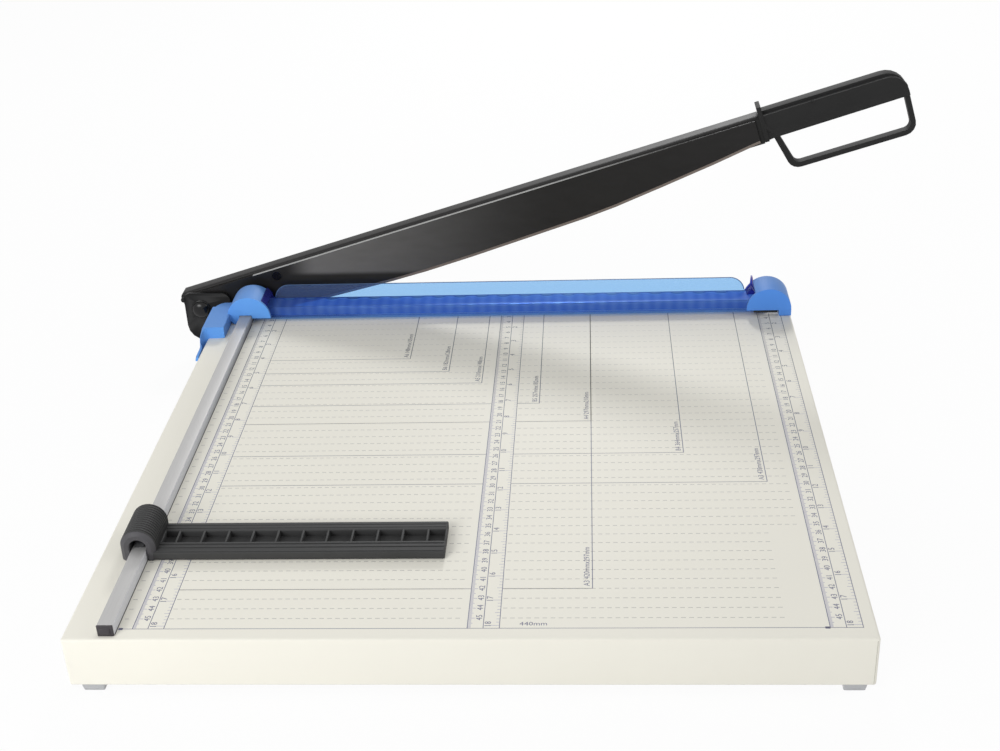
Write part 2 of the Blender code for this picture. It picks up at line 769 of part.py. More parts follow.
def rail(tray):
    """The rail's tube, its cap and the screws that hold it from below."""
    left = RAIL_CENTRE - RAIL_WIDTH / 2
    right = RAIL_CENTRE + RAIL_WIDTH / 2
    top = GAP + RAIL_HEIGHT
    tube = box(
        "rail", DATUM_FRAME, RAIL_METAL, (left, RAIL_FRONT, GAP), (right, RAIL_BACK, top)
    )
    bore = box(
        "rail_bore",
        DATUM_FRAME,
        None,
        (left + RAIL_WALL, RAIL_FRONT - OVERRUN, GAP + RAIL_WALL),
        (right - RAIL_WALL, RAIL_BACK + OVERRUN, top - RAIL_WALL),
    )
    cut(tube, bore)
    cap_back = RAIL_FRONT - GAP
    cap = box(
        "rail_end_cap",
        DATUM_FRAME,
        BLACK_PLASTIC,
        (left - CAP_PROUD, cap_back - CAP_LENGTH, GAP),
        (right + CAP_PROUD, cap_back, top + CAP_PROUD),
    )
    inset = RAIL_WALL + GAP
    plug = box(
        "cap_plug",
        DATUM_FRAME,
        None,
        (left + inset, cap_back - OVERRUN, GAP + inset),
        (right - inset, RAIL_FRONT + CAP_PLUG_LENGTH, top - inset),
    )
    fuse(cap, plug)
    for i, y in enumerate((RAIL_FRONT + RAIL_SCREW_ROOM, RAIL_BACK - RAIL_SCREW_ROOM)):
        pan_screw(
            f"rail_screw_{i + 1}",
            DATUM_FRAME,
            BARE_STEEL,
            (RAIL_CENTRE, y, -SHEET - GAP),
            UP,
            RAIL_SCREW_LENGTH,
            (tray, tube),
        )


def gauge():
    """The head, with its bore over the rail, and the arm with its row of pockets."""
    top = GAUGE_HEAD_CENTRE_Z
    half = GAUGE_LENGTH / 2
    head_outline = [
        (GAUGE_HEAD_OFFSET + GAUGE_HEAD_RADIUS, GAP),
        *arc((GAUGE_HEAD_OFFSET, top), GAUGE_HEAD_RADIUS, 0, 180),
        (GAUGE_HEAD_OFFSET - GAUGE_HEAD_RADIUS, GAP),
        (-GAUGE_BORE_RADIUS, GAP),
        *arc((0, top), GAUGE_BORE_RADIUS, 180, 0),
        (GAUGE_BORE_RADIUS, GAP),
    ]
    head = flat(
        "gauge",
        GAUGE_FRAME,
        BLACK_PLASTIC,
        [head_outline],
        GAUGE_LENGTH,
        (0, -half, 0),
        FACING_FRONT,
    )
    pitch = (GAUGE_LENGTH - 2 * GAUGE_GROOVE_END) / GAUGE_GROOVES
    inner = GAUGE_HEAD_RADIUS - GAUGE_GROOVE_DEPTH
    outer = GAUGE_HEAD_RADIUS + OVERRUN
    for i in range(GAUGE_GROOVES):
        ring = flat(
            f"gauge_groove_{i + 1}",
            GAUGE_FRAME,
            None,
            [
                arc((GAUGE_HEAD_OFFSET, top), outer, -10, 190)
                + arc((GAUGE_HEAD_OFFSET, top), inner, 190, -10)
            ],
            pitch * GAUGE_GROOVE_SHARE,
            (0, -GAUGE_GROOVE_END - pitch * (i + 1 / 2), 0),
            FACING_FRONT,
        )
        cut(head, ring)
    arm = box(
        "gauge_arm",
        GAUGE_FRAME,
        None,
        (GAUGE_HEAD_RADIUS - OVERRUN, GAUGE_ARM_STEP - GAUGE_LENGTH, GAP + GAUGE_ARM_STEP),
        (GAUGE_ARM_REACH, -GAUGE_ARM_STEP, GAUGE_ARM_TOP),
    )
    fuse(head, arm)
    first = GAUGE_HEAD_OFFSET + GAUGE_HEAD_RADIUS + POCKET_HEAD_ROOM
    last_rib = GAUGE_ARM_REACH - POCKET_LAST_RIB_ROOM
    spaces = int((last_rib - first - POCKET_RIB) / POCKET_PITCH)
    ribs = [last_rib - POCKET_PITCH * (spaces - i) for i in range(spaces + 1)]
    lefts = [first] + [rib + POCKET_RIB / 2 for rib in ribs]
    rights = [rib - POCKET_RIB / 2 for rib in ribs] + [GAUGE_ARM_REACH - POCKET_END_WALL]
    for i, (left, right) in enumerate(zip(lefts, rights)):
        pocket = box(
            f"gauge_pocket_{i + 1}",
            GAUGE_FRAME,
            None,
            (left, POCKET_FRONT_ROOM - GAUGE_LENGTH, POCKET_FLOOR),
            (right, -POCKET_BACK_ROOM, GAUGE_ARM_TOP + OVERRUN),
        )
        cut(head, pocket)
    return head


def gauge_spring():
    """A leaf, arched along the rail, that presses on it from the head's bore."""
    end_z = GAP + RAIL_HEIGHT + GAP
    half_span = GAUGE_LENGTH / 2 - LEAF_END_ROOM
    rise = GAUGE_HEAD_CENTRE_Z + GAUGE_BORE_RADIUS - LEAF_TOP_ROOM - LEAF_THICKNESS - end_z
    radius = (half_span**2 + rise**2) / (2 * rise)
    centre = (0, end_z + rise - radius)
    spread = math.degrees(math.asin(half_span / radius))
    lower = arc(centre, radius, 90 + spread, 90 - spread, SMALL_STEPS)
    upper = arc(centre, radius + LEAF_THICKNESS, 90 - spread, 90 + spread, SMALL_STEPS)
    flat(
        "gauge_spring",
        GAUGE_FRAME,
        BARE_STEEL,
        [lower + upper],
        LEAF_WIDTH,
        (0, -GAUGE_LENGTH / 2, 0),
        FACING_SIDE,
    )


def arch(name, side, foot_reach):
    """A hollow arch with a front plate. Its leg is on the side that is given, -1 or 1.

    Behind the plate its shell stops short of the other side, where the guard's end goes in.
    """
    x = LEFT_ARCH_X if side < 0 else RIGHT_ARCH_X
    inner = ARCH_RADIUS - ARCH_WALL
    centre = (0, ARCH_CENTRE_Z)
    outline = [
        *arc(centre, ARCH_RADIUS, 0, 180),
        (-ARCH_RADIUS, ARCH_UNDERSIDE),
        (ARCH_LEG_REACH, ARCH_UNDERSIDE),
        (ARCH_LEG_REACH, GAP),
        (foot_reach, GAP),
    ]
    hollow_outline = [
        *arc(centre, inner, 0, 180),
        (-inner, -OVERRUN),
        (ARCH_LEG_REACH, -OVERRUN),
        (ARCH_LEG_REACH, ARCH_CENTRE_Z),
    ]
    hollow_depth = ARCH_BACK - ARCH_FRONT - ARCH_PLATE + OVERRUN
    shell = flat(
        name,
        DATUM_FRAME,
        BLUE_PLASTIC,
        [[(side * u, z) for u, z in outline]],
        ARCH_BACK - ARCH_FRONT,
        (x, (ARCH_FRONT + ARCH_BACK) / 2, 0),
        FACING_FRONT,
    )
    hollow = flat(
        name + "_hollow",
        DATUM_FRAME,
        None,
        [[(side * u, z) for u, z in hollow_outline]],
        hollow_depth,
        (x, ARCH_FRONT + ARCH_PLATE + hollow_depth / 2, 0),
        FACING_FRONT,
    )
    ends = sorted(
        (x - side * ARCH_SHELL_REACH, x - side * (ARCH_RADIUS + OVERRUN)),
    )
    side_gap = box(
        name + "_side_gap",
        DATUM_FRAME,
        None,
        (ends[0], ARCH_FRONT + ARCH_PLATE, -OVERRUN),
        (ends[1], ARCH_BACK + OVERRUN, ARCH_CENTRE_Z + ARCH_RADIUS + OVERRUN),
    )
    return shell, hollow, side_gap


def left_mount(tray):
    """The left arch, the cover beside it and the skirt down the bed's side, in one moulding."""
    mount, hollow, side_gap = arch("left_mount", -1, ARCH_LEG_REACH + ARCH_LEG_THICKNESS)
    cover = flat(
        "mount_cover",
        DATUM_FRAME,
        None,
        [
            rounded(
                [
                    (COVER_LEFT, COVER_FRONT, COVER_EDGE),
                    (COVER_RIGHT, COVER_FRONT, COVER_EDGE),
                    (COVER_RIGHT, COVER_BACK, 0),
                    (COVER_LEFT, COVER_BACK, COVER_CORNER),
                ]
            )
        ],
        COVER_TOP - GAP,
        (0, 0, (COVER_TOP + GAP) / 2),
        LYING,
    )
    back = ARCH_BACK - SKIRT_BACK_STEP
    front = COVER_FRONT - SKIRT_REACH
    tongue_back = front - SKIRT_SLANT
    tongue_front = tongue_back - TONGUE_LENGTH
    tongue_bottom = TONGUE_TOP - TONGUE_THICKNESS
    skirt_outline = [
        (back, SKIRT_TOP),
        (front, SKIRT_TOP),
        (tongue_back, TONGUE_TOP),
        (tongue_front, TONGUE_TOP),
        (tongue_front - TONGUE_SLANT, tongue_bottom),
        (tongue_back, tongue_bottom - TONGUE_THICKNESS),
        (COVER_FRONT, SKIRT_TOP - SKIRT_HEIGHT),
        (back, SKIRT_TOP - SKIRT_HEIGHT),
    ]
    skirt_right = BED_LEFT - GAP
    skirt = flat(
        "mount_skirt",
        DATUM_FRAME,
        None,
        [skirt_outline],
        SKIRT_THICKNESS,
        (skirt_right - SKIRT_THICKNESS / 2, 0, 0),
        FACING_SIDE,
    )
    cut(mount, hollow, side_gap)
    fuse(mount, cover, skirt)
    rail_left = RAIL_CENTRE - RAIL_WIDTH / 2
    rail_right = RAIL_CENTRE + RAIL_WIDTH / 2
    notch = box(
        "rail_notch",
        DATUM_FRAME,
        None,
        (rail_left - RAIL_NOTCH_ROOM, ARCH_FRONT - OVERRUN, -OVERRUN),
        (
            rail_right + RAIL_NOTCH_ROOM,
            ARCH_FRONT + ARCH_PLATE + OVERRUN,
            GAP + RAIL_HEIGHT + RAIL_NOTCH_ROOM,
        ),
    )
    pocket = box(
        "cover_pocket",
        DATUM_FRAME,
        None,
        (COVER_LEFT + COVER_WALL, COVER_FRONT + COVER_POCKET_ROOM, -OVERRUN),
        (COVER_RIGHT - COVER_WALL, COVER_BACK - COVER_POCKET_ROOM, COVER_TOP - COVER_WALL),
    )
    cut(mount, notch, pocket)
    screw_x = (COVER_LEFT + COVER_RIGHT) / 2
    for i, y in enumerate(
        (COVER_FRONT + COVER_POCKET_ROOM / 2, COVER_BACK - COVER_POCKET_ROOM / 2)
    ):
        pan_screw(
            f"mount_screw_{i + 1}",
            DATUM_FRAME,
            BARE_STEEL,
            (screw_x + SHEET, y, -SHEET - GAP),
            UP,
            MOUNT_SCREW_LENGTH,
            (tray, mount),
        )
    return mount


def right_mount(tray):
    mount, hollow, side_gap = arch("right_mount", 1, ARCH_RADIUS)
    cut(mount, hollow, side_gap)
    x = BED_RIGHT - MOUNT_SCREW_ROOM
    for i, y in enumerate((ARCH_FRONT + MOUNT_SCREW_ROOM, ARCH_BACK - MOUNT_SCREW_ROOM)):
        pan_screw(
            f"mount_screw_{i + 3}",
            DATUM_FRAME,
            BARE_STEEL,
            (x, y, -SHEET - GAP),
            UP,
            MOUNT_SCREW_LENGTH,
            (tray, mount),
        )
    return mount


def guard(tray):
    """The clear bar with ribs below, its upright wall, the fins at its ends and its pins."""
    span = RIGHT_ARCH_X - LEFT_ARCH_X
    bar = box(
        "guard",
        GUARD_FRAME,
        CLEAR_BLUE,
        (BAR_END_REACH, BAR_FRONT, 0),
        (span - BAR_END_REACH, GUARD_BACK, BAR_HEIGHT),
    )
    lip = box(
        "guard_lip",
        GUARD_FRAME,
        None,
        (BAR_END_REACH, LIP_FRONT, 0),
        (span - BAR_END_REACH, BAR_FRONT + BAR_WALL / 2, LIP_HEIGHT),
    )
    fuse(bar, lip)
    base_z = BAR_HEIGHT - BAR_WALL
    top_z = BAR_HEIGHT + UPRIGHT_RISE
    upright = flat(
        "guard_upright",
        GUARD_FRAME,
        None,
        [
            rounded(
                [
                    (UPRIGHT_END_REACH, base_z, 0),
                    (span - UPRIGHT_END_REACH, base_z, 0),
                    (span - UPRIGHT_END_REACH, top_z, UPRIGHT_CORNER),
                    (UPRIGHT_END_REACH, top_z, UPRIGHT_CORNER),
                ],
                SMALL_STEPS,
            )
        ],
        UPRIGHT_THICKNESS,
        (0, (UPRIGHT_FRONT + GUARD_BACK) / 2, 0),
        FACING_FRONT,
    )
    fuse(bar, upright)
    centre_z = ARCH_CENTRE_Z - GUARD_BOTTOM
    low = math.degrees(math.asin((base_z - centre_z) / ARCH_RADIUS))
    high = math.degrees(math.acos(ARCH_SHELL_REACH / ARCH_RADIUS))
    for side, x, turn in (("left", 0, 1), ("right", span, -1)):
        outline = [
            (ARCH_SHELL_REACH, base_z),
            *arc((0, centre_z), ARCH_RADIUS, low, high, SMALL_STEPS),
        ]
        fin = flat(
            f"guard_fin_{side}",
            GUARD_FRAME,
            None,
            [[(turn * u, z) for u, z in outline]],
            UPRIGHT_THICKNESS,
            (x, (UPRIGHT_FRONT + GUARD_BACK) / 2, 0),
            FACING_FRONT,
        )
        fuse(bar, fin)
    seat_radius = GUARD_SPRING_RADIUS + GUARD_SPRING_WIRE + SPRING_CLEARANCE
    end_room = PIN_REACH + seat_radius + BAR_RIB
    pockets = int((span - 2 * end_room) / BAR_POCKET_PITCH)
    first = (span - pockets * BAR_POCKET_PITCH) / 2
    for i in range(pockets):
        left = first + BAR_POCKET_PITCH * i
        pocket = box(
            f"guard_pocket_{i + 1}",
            GUARD_FRAME,
            None,
            (left + BAR_RIB / 2, BAR_FRONT + BAR_WALL, -OVERRUN),
            (
                left + BAR_POCKET_PITCH - BAR_RIB / 2,
                GUARD_BACK - BAR_WALL,
                BAR_HEIGHT - BAR_WALL,
            ),
        )
        cut(bar, pocket)
    pin_profile = [
        (0, PIN_TOP),
        (PIN_RADIUS, PIN_TOP),
        (PIN_RADIUS, -SHEET - GAP),
        (PIN_HEAD_RADIUS, -SHEET - GAP),
        (PIN_HEAD_RADIUS, -SHEET - GAP - PIN_HEAD_HEIGHT),
        (0, -SHEET - GAP - PIN_HEAD_HEIGHT),
    ]
    for side, x in (
        ("left", LEFT_ARCH_X + PIN_REACH),
        ("right", RIGHT_ARCH_X - PIN_REACH),
    ):
        turned(
            f"guard_pin_{side}",
            DATUM_FRAME,
            BARE_STEEL,
            pin_profile,
            (x, PIN_Y, 0),
            DOWN,
        )
        coil(
            f"guard_spring_{side}",
            DATUM_FRAME,
            BARE_STEEL,
            (x, PIN_Y, GAP),
            UP,
            GUARD_SPRING_TOP - GAP,
            GUARD_SPRING_RADIUS,
            GUARD_SPRING_WIRE,
            GUARD_SPRING_TURNS,
        )
        bore = cylinder(
            f"pin_bore_{side}",
            DATUM_FRAME,
            None,
            (x, PIN_Y, PIN_TOP + OVERRUN),
            DOWN,
            PIN_TOP + SHEET + 2 * OVERRUN,
            PIN_RADIUS + PIN_CLEARANCE,
        )
        seat = cylinder(
            f"spring_seat_{side}",
            DATUM_FRAME,
            None,
            (x, PIN_Y, GUARD_SPRING_TOP + GAP),
            DOWN,
            GUARD_SPRING_TOP,
            seat_radius,
        )
        cut(bar, bore, seat)
        cut(tray, bore)
    return bar


def hinge_bracket(tray, bar):
    """The plate behind the bed's left corner, whose ear carries the arm's bolt."""
    outline = rounded(
        [
            (BRACKET_LEFT, BRACKET_TOP, BRACKET_TOP_CORNER),
            (BRACKET_LEFT, BRACKET_BOTTOM, BRACKET_BOTTOM_CORNER),
            (BRACKET_RIGHT, BRACKET_BOTTOM, BRACKET_EDGE_CORNER),
            (BRACKET_RIGHT, BRACKET_STRIP_TOP, BRACKET_EDGE_CORNER),
            (BRACKET_EAR_RIGHT, BRACKET_STRIP_TOP, 0),
            (BRACKET_EAR_RIGHT, BRACKET_TOP, BRACKET_EDGE_CORNER),
        ]
    )
    bore = arc((PIVOT_X, PIVOT_Z), BOLT_RADIUS + BOLT_CLEARANCE, 0, 360)[:-1]
    bracket = flat(
        "hinge_bracket",
        DATUM_FRAME,
        BLACK_PAINT,
        [outline, bore],
        KNIFE_THICKNESS,
        (0, -KNIFE_THICKNESS / 2, 0),
        FACING_FRONT,
    )
    screw_z = (BRACKET_STRIP_TOP + BRACKET_BOTTOM) / 2
    for i, share in enumerate(BRACKET_SCREW_PLACE_SHARES):
        sunk_screw(
            f"bracket_screw_{i + 1}",
            DATUM_FRAME,
            BLACK_STEEL,
            (BED_LEFT + share * BRACKET_STRIP_LENGTH, 0, screw_z),
            FORWARD,
            KNIFE_SCREW_LENGTH,
            (bracket, tray, bar),
            SCREW_RADIUS,
            SINK_RADIUS,
        )
    return bracket


def pivot():
    """The bolt through bracket and arm, and what is stacked on it behind the arm."""
    head_back = -KNIFE_THICKNESS - GAP
    dome = BOLT_HEAD_HEIGHT - BOLT_RIM_HEIGHT
    dome_steps = SMALL_STEPS // 2
    profile = [
        (
            BOLT_HEAD_RADIUS * math.sin(math.pi / 2 * i / dome_steps),
            BOLT_RIM_HEIGHT + dome * math.cos(math.pi / 2 * i / dome_steps),
        )
        for i in range(dome_steps + 1)
    ]
    length = BOLT_END - head_back
    profile += [
        (BOLT_HEAD_RADIUS, 0),
        (BOLT_RADIUS, 0),
        (BOLT_RADIUS, -length),
        (0, -length),
    ]
    turned(
        "pivot_bolt",
        DATUM_FRAME,
        BLACK_STEEL,
        profile,
        (PIVOT_X, head_back, PIVOT_Z),
        BACKWARD,
        ROUND_STEPS,
    )
    bore = BOLT_RADIUS + BOLT_CLEARANCE
    washer = [
        (WASHER_RADIUS, 0),
        (WASHER_RADIUS, -WASHER_THICKNESS),
        (bore, -WASHER_THICKNESS),
        (bore, 0),
    ]
    turned(
        "pivot_washer_inner",
        DATUM_FRAME,
        BARE_STEEL,
        washer,
        (PIVOT_X, INNER_WASHER_Y, PIVOT_Z),
        BACKWARD,
        ROUND_STEPS,
        ring=True,
    )
    coil(
        "pivot_spring",
        DATUM_FRAME,
        BARE_STEEL,
        (PIVOT_X, PIVOT_SPRING_Y, PIVOT_Z),
        BACKWARD,
        PIVOT_SPRING_LENGTH,
        PIVOT_SPRING_RADIUS,
        PIVOT_SPRING_WIRE,
        PIVOT_SPRING_TURNS,
    )
    turned(
        "pivot_washer_outer",
        DATUM_FRAME,
        BARE_STEEL,
        washer,
        (PIVOT_X, OUTER_WASHER_Y, PIVOT_Z),
        BACKWARD,
        ROUND_STEPS,
        ring=True,
    )
    flat(
        "pivot_nut",
        DATUM_FRAME,
        BARE_STEEL,
        [arc((0, 0), WASHER_RADIUS, 0, 360, 6)[:-1], arc((0, 0), bore, 0, 360)[:-1]],
        NUT_THICKNESS,
        (PIVOT_X, NUT_Y + NUT_THICKNESS / 2, PIVOT_Z),
        FACING_FRONT,
    )


def blade():
    """The moving knife, with a bowed lower edge and an eye round the bolt."""
    edge = [(x * BLADE_RIGHT, -depth * BLADE_DEPTH) for x, depth in BLADE_EDGE_SHARES]
    eye = arc((0, 0), BLADE_TOP, 90, 270, SMALL_STEPS)
    outline = eye + edge + [(BLADE_RIGHT, edge[-1][1]), (BLADE_RIGHT, BLADE_TOP)]
    bore = arc((0, 0), BOLT_RADIUS + BOLT_CLEARANCE, 0, 360)[:-1]
    return flat(
        "blade",
        ARM_FRAME,
        BLACK_STEEL,
        [outline, bore],
        BLADE_THICKNESS,
        (0, BLADE_FRONT + BLADE_THICKNESS / 2, 0),
        FACING_FRONT,
    )


def arm_spine():
    """The folded back of the arm: web, top flange and lip, with an eye and a tang."""
    lip_bottom = WASHER_RADIUS + SPINE_LIP_CLEARANCE
    section = [
        (WEB_FRONT, WEB_BOTTOM),
        (WEB_FRONT, SPINE_TOP),
        (ARM_BACK, SPINE_TOP),
        (ARM_BACK, lip_bottom),
        (ARM_BACK - SPINE_SHEET, lip_bottom),
        (ARM_BACK - SPINE_SHEET, SPINE_TOP - SPINE_SHEET),
        (WEB_BACK, SPINE_TOP - SPINE_SHEET),
        (WEB_BACK, WEB_BOTTOM),
    ]
    spine = flat(
        "arm_spine",
        ARM_FRAME,
        BLACK_PAINT,
        [section],
        SPINE_RIGHT + SPINE_TAIL,
        ((SPINE_RIGHT - SPINE_TAIL) / 2, 0, 0),
        FACING_SIDE,
    )
    eye = flat(
        "spine_eye",
        ARM_FRAME,
        None,
        [arc((0, 0), WEB_PIVOT_RADIUS, 0, 360)[:-1]],
        SPINE_SHEET - 2 * PLATE_STEP,
        (0, (WEB_FRONT + WEB_BACK) / 2, 0),
        FACING_FRONT,
    )
    tang = box(
        "spine_tang",
        ARM_FRAME,
        None,
        (SPINE_RIGHT - OVERRUN, WEB_FRONT + PLATE_STEP, TANG_BOTTOM),
        (TANG_RIGHT, WEB_BACK - PLATE_STEP, TANG_TOP),
    )
    corner = SPINE_TAIL_CORNER
    corner_waste = flat(
        "spine_corner_waste",
        ARM_FRAME,
        None,
        [
            [
                (-SPINE_TAIL - OVERRUN, SPINE_TOP - corner),
                (-SPINE_TAIL - OVERRUN, SPINE_TOP + OVERRUN),
                (corner - SPINE_TAIL, SPINE_TOP + OVERRUN),
            ]
            + arc((corner - SPINE_TAIL, SPINE_TOP - corner), corner, 90, 180, CORNER_STEPS)
        ],
        2 * ARM_BACK,
        (0, ARM_BACK / 2, 0),
        FACING_FRONT,
    )
    bore = cylinder(
        "spine_bore",
        ARM_FRAME,
        None,
        (0, 0, 0),
        BACKWARD,
        ARM_BACK,
        BOLT_RADIUS + BOLT_CLEARANCE,
        ROUND_STEPS,
    )
    fuse(spine, eye, tang)
    return cut(spine, corner_waste, bore)


def handle():
    """The moulded grip, with its loop, its collar and a slot for the spine's tang."""
    left = BLADE_RIGHT + GAP
    end = HANDLE_RIGHT
    collar_middle = COLLAR_LEFT + COLLAR_WIDTH / 2

    def body_outline(top):
        return rounded(
            [
                (left, HANDLE_LEFT_BOTTOM, 0),
                (left, NECK_TOP, 0),
                (collar_middle, NECK_TOP, 0),
                (collar_middle, top, 0),
                (end, top, HANDLE_END_RADIUS + top - HANDLE_TOP),
                (end, HANDLE_BOTTOM, 0),
                (LOOP_LEFT_TOP, HANDLE_BOTTOM, 0),
            ],
            SMALL_STEPS // 2,
        )

    grip = flat(
        "handle",
        ARM_FRAME,
        BLACK_PLASTIC,
        [body_outline(HANDLE_TOP)],
        ARM_BACK - HANDLE_STEP_Y,
        (0, (ARM_BACK + HANDLE_STEP_Y) / 2, 0),
        FACING_FRONT,
    )
    front_block = flat(
        "handle_front",
        ARM_FRAME,
        None,
        [body_outline(HANDLE_TOP - HANDLE_STEP)],
        HANDLE_STEP_Y - HANDLE_FRONT + OVERRUN,
        (0, (HANDLE_STEP_Y + HANDLE_FRONT + OVERRUN) / 2, 0),
        FACING_FRONT,
    )
    middle = (HANDLE_BOTTOM + TANG_TOP) / 2
    band = LOOP_BAND
    outer = rounded(
        [
            (LOOP_LEFT_TOP, middle, 0),
            (LOOP_LEFT_TOP, HANDLE_BOTTOM, 0),
            (LOOP_LEFT_BOTTOM, LOOP_BOTTOM, LOOP_CORNER),
            (end, LOOP_BOTTOM, LOOP_CORNER),
            (end, middle, 0),
        ]
    )
    inner_corner = LOOP_CORNER - band
    inner = rounded(
        [
            (LOOP_LEFT_TOP + band, HANDLE_BOTTOM, 0),
            (LOOP_LEFT_BOTTOM + band, LOOP_BOTTOM + band, inner_corner),
            (end - band, LOOP_BOTTOM + band, inner_corner),
            (end - band, HANDLE_BOTTOM, 0),
        ]
    )
    loop = flat(
        "handle_loop",
        ARM_FRAME,
        None,
        [outer, inner],
        LOOP_DEPTH,
        (0, LOOP_FRONT + LOOP_DEPTH / 2, 0),
        FACING_FRONT,
    )
    collar = box(
        "handle_collar",
        ARM_FRAME,
        None,
        (COLLAR_LEFT, COLLAR_FRONT, HANDLE_LEFT_BOTTOM + GAP),
        (COLLAR_LEFT + COLLAR_WIDTH, ARM_BACK - GAP, HANDLE_TOP + COLLAR_RISE),
    )
    slot = box(
        "tang_slot",
        ARM_FRAME,
        None,
        (left - OVERRUN, WEB_FRONT - GAP, TANG_BOTTOM - GAP),
        (TANG_RIGHT + GAP, WEB_BACK + GAP, TANG_TOP + GAP),
    )
    fuse(grip, front_block, loop, collar)
    return cut(grip, slot)


def arm_screws(moving_blade, spine, grip):
    """One screw that shows on the blade's front, three from behind, and two in the handle."""
    sunk_screw(
        "blade_screw_1",
        ARM_FRAME,
        BLACK_STEEL,
        (BLADE_SCREW_FIRST_X, BLADE_FRONT, BLADE_SCREW_FIRST_Z),
        BACKWARD,
        BLADE_THICKNESS + GAP + SPINE_SHEET,
        (moving_blade, spine),
        BLADE_SCREW_RADIUS,
        BLADE_SCREW_SINK_RADIUS,
    )
    for i, share in enumerate(BLADE_SCREW_PLACE_SHARES):
        pan_screw(
            f"blade_screw_{i + 2}",
            ARM_FRAME,
            BLACK_STEEL,
            (share * BLADE_RIGHT, WEB_BACK + GAP, BLADE_SCREW_Z),
            FORWARD,
            WEB_BACK + GAP - WEB_FRONT + GAP + BLADE_SCREW_BITE,
            (moving_blade, spine),
            BLADE_SCREW_RADIUS,
        )
    recess = PAN_RADIUS + HOLE_CLEARANCE
    seat = ARM_BACK - HANDLE_SCREW_SINK
    screw_z = (TANG_BOTTOM + TANG_TOP) / 2
    for i, share in enumerate(HANDLE_SCREW_PLACE_SHARES):
        x = SPINE_RIGHT + share * TANG_LENGTH
        sink = cylinder(
            f"handle_recess_{i + 1}",
            ARM_FRAME,
            None,
            (x, ARM_BACK + OVERRUN, screw_z),
            FORWARD,
            HANDLE_SCREW_SINK + OVERRUN,
            recess,
        )
        cut(grip, sink)
        pan_screw(
            f"handle_screw_{i + 1}",
            ARM_FRAME,
            BLACK_STEEL,
            (x, seat + GAP, screw_z),
            FORWARD,
            seat + GAP - (WEB_FRONT + WEB_BACK) / 2,
            (grip, spine),
        )


def raise_arm():
    """Applies the arm's cuts while it is level, and then turns it up to its rest angle.

    A cut can leave a seam of no width open between two faces, which is filled here.
    """
    graph = bpy.context.evaluated_depsgraph_get()
    pieces = [piece for piece in PARTS.objects if piece.parent == ARM_FRAME]
    meshes = [bpy.data.meshes.new_from_object(piece.evaluated_get(graph)) for piece in pieces]
    for piece, mesh in zip(pieces, meshes):
        shape = bmesh.new()
        shape.from_mesh(mesh)
        gaps = [edge for edge in shape.edges if len(edge.link_faces) == 1]
        bmesh.ops.holes_fill(shape, edges=gaps, sides=4)
        bmesh.ops.dissolve_degenerate(shape, dist=SLIVER, edges=shape.edges)
        shape.to_mesh(mesh)
        shape.free()
        piece.modifiers.clear()
        piece.data = mesh
        mesh.name = piece.name
    for cutter in [cutter for cutter in CUTTERS.objects if cutter.parent == ARM_FRAME]:
        bpy.data.objects.remove(cutter)
    ARM_FRAME.rotation_euler = (0, -math.radians(ARM_REST_ANGLE), 0)


def main():
    tray = base_tray()
    stiffeners()
    bar = knife_and_bar(tray)
    feet(tray)
    rail(tray)
    gauge()
    gauge_spring()
    left_mount(tray)
    right_mount(tray)
    guard(tray)
    hinge_bracket(tray, bar)
    pivot()
    moving_blade = blade()
    spine = arm_spine()
    grip = handle()
    arm_screws(moving_blade, spine, grip)
    raise_arm()


main()
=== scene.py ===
"""How a guillotine paper cutter looks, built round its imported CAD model."""

import math

import bmesh
import bpy
from mathutils import Matrix, Vector


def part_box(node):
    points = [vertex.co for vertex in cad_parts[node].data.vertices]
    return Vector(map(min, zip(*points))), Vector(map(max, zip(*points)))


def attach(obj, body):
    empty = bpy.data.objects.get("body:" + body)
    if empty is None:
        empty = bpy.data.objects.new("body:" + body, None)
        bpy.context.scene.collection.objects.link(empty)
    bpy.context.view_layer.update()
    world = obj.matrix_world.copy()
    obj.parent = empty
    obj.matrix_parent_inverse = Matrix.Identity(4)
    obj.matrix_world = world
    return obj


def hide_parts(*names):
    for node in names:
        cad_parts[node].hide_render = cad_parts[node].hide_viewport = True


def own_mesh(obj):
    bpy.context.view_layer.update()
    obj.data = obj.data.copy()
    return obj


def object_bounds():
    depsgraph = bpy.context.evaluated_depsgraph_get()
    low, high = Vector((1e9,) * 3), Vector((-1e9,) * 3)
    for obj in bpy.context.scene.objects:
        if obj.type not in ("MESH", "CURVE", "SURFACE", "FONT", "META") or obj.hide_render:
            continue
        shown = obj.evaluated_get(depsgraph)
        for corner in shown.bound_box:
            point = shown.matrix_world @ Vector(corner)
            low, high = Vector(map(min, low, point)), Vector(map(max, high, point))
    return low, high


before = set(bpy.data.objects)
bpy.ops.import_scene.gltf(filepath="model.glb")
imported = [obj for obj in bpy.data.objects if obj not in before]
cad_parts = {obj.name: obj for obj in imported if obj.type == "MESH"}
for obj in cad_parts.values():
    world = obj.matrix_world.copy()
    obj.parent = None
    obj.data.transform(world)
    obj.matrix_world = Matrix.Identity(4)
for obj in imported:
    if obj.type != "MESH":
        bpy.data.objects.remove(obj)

CAD_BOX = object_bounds()
MM = 0.001

# Places on the bed are in millimetres: x from the zero of its left scale, y from the cut and
# z from its top. Places on the arm are in millimetres from its pivot, with x along the arm.
BED_LEFT, BED_RIGHT = -32.0, 468.5
BED_FRONT, BED_BACK = -470.6, -3.8
BED_HEIGHT = 36.3
BED_FOLD, BED_FOLD_STEPS = 1.8, 5
BED_SHEET, BED_FLANGE = 1.3, 20.2
ARM_REST_ANGLE = 16.8

